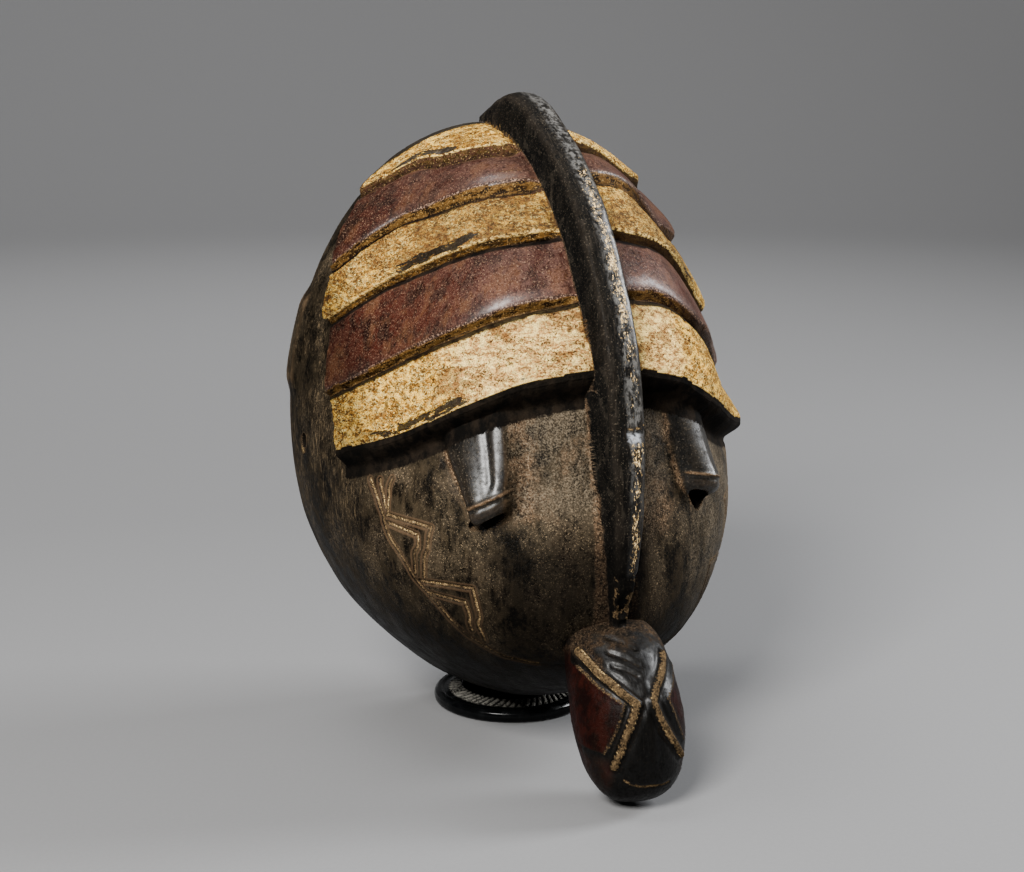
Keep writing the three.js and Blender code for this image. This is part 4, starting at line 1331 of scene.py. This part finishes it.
def face_colour(w):
    """Black-brown patina of the face and the side strip, with grey and brown dust and a painted sheen between
    the eyes.
    """
    dusty = w.drift.band(0.44, 0.64) * w.speck.band(0.32, 0.6)
    fleck = w.grit.band(0.585, 0.65) * w.drift.band(0.42, 0.66, 0.1, 0.85)
    # grey powder between the eyes and low on the right cheek; between the eyes it is also a painted sheen
    between_eyes = w.off_middle.band(0.045, 0.03) * w.z.band(0.122, 0.14)
    right_cheek = w.x.band(0.03, 0.06) * w.z.band(0.05, 0.09)
    powder_and_sheen = w.top(between_eyes, right_cheek) * w.grit.band(0.42, 0.58, 0.05, 0.85)
    return w.layers(
        w.mix(w.mottle.band(0.42, 0.58), NIGHT, UMBER),
        (w.grain.band(0.52, 0.66) * 0.5, SMOKE),
        (dusty * 0.7, ASH),
        (fleck, STRAW),
        (w.dust_here * 0.85, w.earth),
        (w.ridge * 0.5, WORN_EDGE),
        (powder_and_sheen * (w.drift + w.speck * 0.6).band(0.7, 0.88, 0.3, 0.8), POWDER_AND_SHEEN),
    )


def black_colour(w):
    """The bar and the polished blacks, with a painted grey sheen on the glossy right side of the bar."""
    # painted sheen: grey mixed into the black where the bar is glossy
    rubbed_and_sheen = w.bar * w.gloss * (w.z.band(0.12, 0.17) * w.speck.band(0.38, 0.52, 0.25, 1.0))
    rubbed_and_sheen = rubbed_and_sheen * w.noise(2.6, 5, 0.7, (1, 1, 4), move=0.83).band(0.44, 0.58)
    return w.layers(
        w.mix(w.mottle.band(0.4, 0.66), JET, COAL),
        (w.streak.band(0.54, 0.66) * 0.45, BRUSHED),
        (w.grit.band(0.6, 0.68) * 0.4, BLACK_CRUMB),
        (rubbed_and_sheen * 0.85, SHEEN_GREY),
        (w.dust_here * 0.8, w.earth),
        (w.ridge * 0.05, BAR_EDGE),
    )


def red_colour(w):
    """Oxblood, mauve towards the middle of the cap as dust and a painted sheen, and crimson on the head."""
    # mauve in the middle of the cap: dust and a painted sheen
    middle = w.x.band(-0.085, -0.02) * w.z.band(0.1, 0.15)
    mauve = w.mix(w.speck.band(0.34, 0.66), MAUVE_DARK, MAUVE)
    crimson = w.mix(w.mottle.band(0.4, 0.6), CRIMSON_DARK, CRIMSON)
    sparse = w.z.band(0.09, 0.13, 0.12, 1.0)
    return w.layers(
        w.mix(w.mottle.band(0.42, 0.58), BLOOD_DARK, BLOOD),
        (middle * w.drift.band(0.36, 0.58, 0.2, 0.85), mauve),
        (w.drift.band(0.5, 0.62) * w.z.band(0.1, 0.15, 0.0, 0.5), TAWNY),
        (w.z.band(0.228, 0.245) * 0.25, DRIED),
        (w.veins(w.speck, 0.03) * 0.22 * sparse, BLOOD_VEIN),
        (w.grit.band(0.59, 0.66) * 0.42 * sparse, BLOOD_CRUMB),
        (w.grit.band(0.45, 0.37) * 0.6, BLOOD_PIT),
        (w.z.band(0.1, 0.085) * 0.85, crimson),
        (w.dust.band(0.2, 0.8) * w.speck.band(0.4, 0.6), BLOOD_DUST),
    )


def cream_colour(w):
    """Cream crust: golden to pinkish paint with pale shards, rust, crumbs and pits."""
    blotch = w.noise(11, 5, 0.68, (1.7, 1.7, 0.8), move=0.9)
    shard = w.noise(2.6, 5, 0.62, (1.5, 1.5, 0.7), move=0.45, warp=0.6)
    rosy = w.x.band(-0.085, -0.045) * w.x.band(0.055, 0.025) * w.z.band(0.235, 0.215)
    rosy = (rosy + (w.patch - 0.5) * 1.6).band(0.3, 0.75)
    high = w.z.band(0.205, 0.235, 0.0, 0.03) * w.z.band(0.284, 0.266)
    crisp = w.crumb * 0.6 + w.flake * 0.4
    ochre = w.mix(crisp.band(0.44, 0.54), OCHRE_DARK, OCHRE)
    pink = w.mix(crisp.band(0.42, 0.52), PINK_DARK, PINK)
    bright = (w.flake + rosy * 0.02 - high).band(0.525, 0.565) * w.grit.band(0.4, 0.48)
    w.shards = w.veins(shard, 0.03) * w.crumb.band(0.4, 0.5)
    w.pitted = w.grit.band(0.54, 0.6) * (blotch + high).band(0.36, 0.56, 0.2, 1.0)
    dusk = w.z.band(0.205, 0.235) * w.z.band(0.276, 0.262) * w.x.band(-0.085, -0.03, 0.22, 0.5)
    return w.layers(
        w.mix(rosy, ochre, pink),
        (bright * 0.92, w.mix(rosy, GOLD_FLAKE, PINK_FLAKE)),
        (w.shards * 0.8, SHARD),
        ((blotch + high).band(0.54, 0.62) * 0.65, RUST_BLOTCH),
        (w.pitted * 0.95, PIT),
        ((w.flake - high).band(0.39, 0.33) * 0.85, CRUST_HOLE),
        (w.fine_bend.band(0.52, 0.68) * 0.85, CRUST_HOLLOW),
        (w.dust * 0.8 * w.speck.band(0.34, 0.6), CRUST_DUST),
        (dusk, DUSK),
    )


def band_edges(w, ochre, blood):
    """Lower edges of the bands: rough step under the crusty or dark arris of the paint above, darker on the
    right as painted shade.
    """
    w.wander = (w.flake - 0.5) * 2.2 + (w.crumb - 0.5) * 1.6
    w.topmost = w.z.band(0.258, 0.268)
    step = w.gap + w.wander * 0.6 - w.topmost * 2.4
    w.step = w.below * step.band(2.9, 2.2)
    # the steps go darker to the right: painted shade under the band edges
    rust = w.layers(
        w.mix(w.lay.band(0.42, 0.58), RUST_DARK, RUST),
        (w.grit.band(0.54, 0.64) * 0.5, RUST_CRUMB),
        (w.x.band(0.03, 0.06) * 0.75, RUST_SHADE_RIGHT),
    )
    golden = w.layers(
        w.mix(w.lay.band(0.42, 0.58), STEP_DARK, STEP_GOLD),
        (w.speck.band(0.5, 0.58) * 0.85, STEP_SPOT),
        (w.topmost * 0.92, w.mix(w.speck.band(0.42, 0.58), MAROON_DARK, MAROON)),
        (w.grit.band(0.58, 0.66) * 0.5, STEP_CRUMB),
        (w.x.band(0.002, 0.022) * 0.86, STEP_SHADE_RIGHT),
    )
    crust = w.gap.band(0.8, 0.3) * w.crumb.band(0.47, 0.53)
    arris = w.above * (w.gap + w.wander * 0.4).band(1.3, 0.5)
    arris_colour = w.mix(w.grit.band(0.5, 0.6), ARRIS_DARK, ARRIS)
    ochre = w.layers(ochre, (w.step * 0.95, golden), (crust * 0.65, CRUST_RIM))
    blood = w.layers(blood, (w.step * 0.92, rust), (arris * 0.9, arris_colour))
    return ochre, blood


def chipped_colour(w, colour):
    """Black wood laid bare by glossy chips, and painted shade in the creases under the band edges, under the
    brow and in the slots and cord holes.
    """
    off = (w.gap - 2.6) * 0.42
    chips = w.blot + (w.chip * 0.27 - 0.06) - off * off * 0.13
    w.chips = chips.band(0.585, 0.62) * w.cream * w.above
    ragged_gap = w.gap + w.wander * 0.5
    # painted shade in the crease under each overhanging band edge
    crease = ragged_gap.band(2.3, 2.9) * ragged_gap.band(5.6, 4.6) * w.below
    w.crease = crease * (w.cream + w.red) * (1.0 - w.topmost * 0.6)
    # painted shadow under the brow, and painted shade on the cut faces of the slots and cord holes
    w.worn_black = (w.shade + (w.speck - 0.5) * 0.7).band(0.42, 0.6)
    w.chipped = w.top(w.chips, w.crease, w.worn_black)
    black_and_shade = w.mix(w.mottle.band(0.42, 0.62), BLACK_AND_SHADE_DARK, BLACK_AND_SHADE)
    black_and_shade = w.mix(w.grit.band(0.58, 0.68) * (w.chips * 0.45), black_and_shade, CHIP_CRUMB)
    return w.mix(w.chipped * 0.97, colour, black_and_shade)


def marked_colour(w, colour):
    """Pale paint of the lines and chips, the bar's flaked edge and a painted highlight under the bar's scar.
    """
    tan = w.layers(
        w.mix(w.speck.band(0.4, 0.57), TAN_DARK, TAN),
        (w.grit.band(0.5, 0.6) * w.pale.band(0.62, 0.88, 0.06, 0.9), TAN_CRUMB),
    )
    marked = (w.pale + (w.grit - 0.5) * 0.9).band(0.35, 0.6)
    scratch = (w.noise(0.95, 5, 0.72, (1, 1, 2.6), move=0.29) * 0.72
               + w.noise(4.0, 3, 0.6, (1, 1, 3), move=0.61) * 0.28)
    flaked = (scratch + w.flaky * 0.14).band(0.63, 0.655) * w.flaky.band(0.08, 0.25)
    w.marked = w.top(marked, flaked)
    return w.layers(
        colour,
        (marked * 0.92, tan),
        (flaked * 0.95, w.mix(w.grit.band(0.42, 0.56), FLAKED_DARK, FLAKED)),
        # painted highlight under the bar's scar
        (w.bar * w.chip * w.speck.band(0.34, 0.56, 0.1, 0.9), SCAR_HIGHLIGHT),
    )


def darkened_colour(w, colour):
    """Painted shade on the lower face, low beside the bar and on the far left strip, darker unpainted wood
    high on the cap, and pale fibres at the rims.
    """
    inner_low = w.off_middle.band(0.06, 0.03) * w.z.band(0.132, 0.106) * w.x.band(0.02, 0.01)
    unpainted = 1.0 - w.top(w.cream, w.red, w.bar)
    # painted shade on the lower face, low beside the bar and on the far left strip; the unpainted wood high
    # on the cap is darker as well
    shade_and_dark = w.top(
        w.z.band(0.128, 0.045, 0.0, 0.9),
        inner_low * 0.82,
        w.x.band(-0.086, -0.099, 0.0, 0.62),
        w.z.band(0.225, 0.25, 0.0, 0.75) * unpainted,
    )
    shade_and_dark = shade_and_dark * (1.0 - w.inside) * (1.0 - w.red * 0.2) * (1.0 - w.marked * 0.5)
    strip = abs(w.x).band(0.092, 0.099) * w.z.band(0.03, 0.1)
    strip = strip * (unpainted * (1.0 - w.top(w.inside, w.chipped)))
    fibre = w.noise(0.75, 5, 0.7, (1, 1, 9), move=0.47).band(0.54, 0.64)
    return w.layers(
        colour,
        (shade_and_dark, SHADE_AND_DARK),
        (strip * fibre * w.drift.band(0.36, 0.6, 0.15, 0.8), FIBRE),
        (strip * w.ridge * 0.25, STRIP_EDGE),
    )


def bare_wood(w):
    """Raw wood of the hollow."""
    w.fibres = w.noise(2.2, 5, 0.65, (1, 1, 14), move=0.4)
    return w.layers(
        w.mix(w.fibres.band(0.35, 0.65), WOOD_DARK, WOOD),
        (w.patch.band(0.45, 0.66) * 0.6, WOOD_STAIN),
        (w.drift.band(0.54, 0.68) * 0.5, WOOD_PALE),
    )


def roughness(w):
    """Smoother where the wood is polished or chipped, rough where it is dusty, cream or bare."""
    rough = w.blend(w.mottle.band(0.35, 0.7), 0.42, 0.6)
    dusty = w.top(w.dust_here * (1.0 - w.cream), w.marked)
    for share, value in (
        (w.top(w.bar, w.gloss), w.blend(w.speck.band(0.35, 0.7), 0.36, 0.52)),
        (w.bar * w.gloss.band(0.25, 0.05), 0.85),
        (w.red, w.blend(w.speck.band(0.4, 0.66), 0.36, 0.52)),
        (w.cream, 0.9),
        (w.top(w.crease, w.worn_black), 0.85),
        (w.chips, 0.35),
        (dusty, 0.9),
        (w.inside, 0.85),
    ):
        rough = w.blend(share, rough, value)
    return rough


def polish(w):
    """Coat of the hoods, the chips and the lips of the red bands, where no dust lies."""
    lip = w.red * w.above * w.gap.band(6.0, 2.5, 0.08, 0.42) * w.x.band(0.055, 0.015, 0.3, 1.0)
    shiny = w.top(w.gloss * 0.6, w.chips * 0.42, lip)
    shiny = shiny * (1.0 - w.marked) * (1.0 - w.dust_here * 0.9)
    shiny = shiny * (1.0 - w.top(w.worn_black, w.crease))
    return shiny * w.speck.band(0.7, 0.4, 0.3, 1.0)


def fine_relief(w):
    """Height of the grain, the crust and the grit for the bump."""
    soft = w.grain * 0.4 + w.speck * 0.5 + w.mottle * 0.55 + w.grit * 0.3
    polished = w.streak * 0.5 + (w.speck * 0.25 + w.mottle * 0.5)
    crusty = w.flake * 1.9 + (w.crumb * 1.6 + w.shards * 0.35) + w.grit * 0.8 - w.pitted * 0.8
    open_crust = w.cream * (1.0 - w.chipped * 0.8)
    height = w.blend(open_crust, w.blend(w.bar, soft, polished), crusty)
    height = height + w.marked * (w.speck * 0.5) + w.step * (w.lay * 0.8) + open_crust * 0.6
    return w.blend(w.inside, height, w.fibres * 0.9 + w.mottle * 0.5)


def carved_wood():
    """The material of the mask, from the bare body outwards."""
    w = wood_graph()
    colour = w.mix(w.top(w.bar, w.gloss * 0.85), face_colour(w), black_colour(w))
    ochre, blood = band_edges(w, cream_colour(w), red_colour(w))
    colour = w.layers(colour, (w.cream, ochre), (w.red, blood))
    colour = darkened_colour(w, marked_colour(w, chipped_colour(w, colour)))
    inputs = w.shader.inputs
    w.put(inputs["Base Color"], w.mix(w.inside, colour, bare_wood(w)))
    w.put(inputs["Roughness"], roughness(w))
    w.put(inputs["Coat Weight"], polish(w))
    inputs["Coat Roughness"].default_value = 0.33
    inputs["Specular IOR Level"].default_value = 0.035
    w.bump(fine_relief(w), 0.55, 1.0)
    return w.material


def black_base():
    """Black lacquer of the base, with worn crests between its notches."""
    g = Graph("black_base_lacquer")
    worn, groove = g.marks("mark1")[:2]
    speck = g.noise(1.1, 3, 0.6)
    mottle = g.noise(8, 4, 0.6, move=0.4)
    patches = mottle.band(0.4, 0.7)
    rubbed_and_sheen = worn * (speck + mottle * 0.6).band(0.62, 0.92)
    colour = g.layers(
        g.mix(patches, BASE_DARK, BASE_BLACK),
        (groove * 0.8, BASE_GROOVE),
        (rubbed_and_sheen * 0.85, BASE_WORN),
    )
    g.put(g.shader.inputs["Base Color"], colour)
    g.put(g.shader.inputs["Roughness"], g.blend(g.top(rubbed_and_sheen, groove), g.blend(patches, 0.14, 0.3), 0.6))
    g.shader.inputs["Specular IOR Level"].default_value = 0.1
    g.bump(speck * 0.3 + mottle * 0.6, 0.12, 0.6)
    return g.material


# The two pieces
mask = solid("mask_carving", body_mesh())
combine(mask, solid("head_part", head_mesh()), "UNION")
combine(mask, solid("bar_part", bar_mesh()), "UNION")
combine(mask, solid("hollow_part", hollow_mesh()), "DIFFERENCE")
for side in SIDES:
    combine(mask, solid("slot_part", slot_mesh(side)), "DIFFERENCE")
    combine(mask, solid("side_hole_part", side_hole_mesh(side)), "DIFFERENCE")
mend_marks(mask.data)
soften(mask.data)
shade_smooth(mask.data, MASK_SHARP)
mask.data.materials.clear()
mask.data.materials.append(carved_wood())
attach(mask, "root")
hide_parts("mask")

base = solid("base_disc", base_mesh())
shade_smooth(base.data, BASE_SHARP)
base.data.materials.append(black_base())
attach(base, "root")
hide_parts("stand_base")


# Floor, light and camera
def floor_piece():
    """Round pale floor that curves up far away, so that no edge shows from any side."""
    turn = np.linspace(0.08, 1.45, 16)
    bent = FLOOR_FLAT + FLOOR_BEND * np.sin(turn)
    radii = np.concatenate([np.linspace(0.02, FLOOR_FLAT, 24), bent, [3.45, 3.5]])
    rise = np.concatenate([np.zeros(24), FLOOR_BEND * (1 - np.cos(turn)), [2.4, 4.0]])
    a = circle(FLOOR_AROUND)
    points = columns(radii[:, None] * np.cos(a), radii[:, None] * np.sin(a), rise[:, None])
    mesh = make_mesh("floor", points.reshape(-1, 3) / MM, ring_table(len(radii), FLOOR_AROUND),
                     [np.arange(FLOOR_AROUND)[::-1]])
    mesh.polygons.foreach_set("use_smooth", np.ones(len(mesh.polygons), bool))
    floor = bpy.data.objects.new("pale_floor", mesh)
    bpy.context.scene.collection.objects.link(floor)
    g = Graph("pale_floor_paper")
    weave = g.noise(2.0, 3, 0.6)
    g.put(g.shader.inputs["Base Color"], g.mix(weave, FLOOR_DARK, FLOOR_PALE))
    g.shader.inputs["Roughness"].default_value = 0.9
    g.bump(weave, 0.2, 0.3)
    mesh.materials.append(g.material)


def soft_light(name, place, target, size, power, colour):
    data = bpy.data.lights.new(name, "AREA")
    data.shape = "RECTANGLE"
    data.size, data.size_y = size
    data.energy = power
    data.color = colour
    light = bpy.data.objects.new(name, data)
    bpy.context.scene.collection.objects.link(light)
    light.location = place
    light.rotation_mode = "QUATERNION"
    light.rotation_quaternion = (Vector(target) - Vector(place)).to_track_quat("-Z", "Y")


floor_piece()
for lamp in LAMPS:
    soft_light(*lamp)
world = bpy.data.worlds.new("studio")
world.use_nodes = True
background = world.node_tree.nodes["Background"].inputs
background["Color"].default_value = (*SKY_COLOUR, 1)
background["Strength"].default_value = SKY_STRENGTH
bpy.context.scene.world = world

azimuth, pitch = math.radians(CAMERA_AZIMUTH), math.radians(CAMERA_PITCH)
right = Vector((math.cos(azimuth), math.sin(azimuth), 0))
level_forward = Vector((-math.sin(azimuth), math.cos(azimuth), 0))
forward = level_forward * math.cos(pitch) + Vector((0, 0, -math.sin(pitch)))
upward = right.cross(forward)
across = (ORIGIN_PIXEL[0] - IMAGE[0] / 2) / FOCAL_PIXELS
above = -(ORIGIN_PIXEL[1] - IMAGE[1] / 2) / FOCAL_PIXELS
spot = -(forward + right * across + upward * above) * CAMERA_REACH * MM
camera_data = bpy.data.cameras.new("camera")
camera_data.sensor_width = SENSOR_WIDTH
camera_data.lens = FOCAL_PIXELS / IMAGE[0] * SENSOR_WIDTH
camera = bpy.data.objects.new("camera", camera_data)
bpy.context.scene.collection.objects.link(camera)
turn = Matrix((right, upward, -forward)).transposed().to_4x4()
camera.matrix_world = Matrix.Translation(spot) @ turn
bpy.context.scene.camera = camera
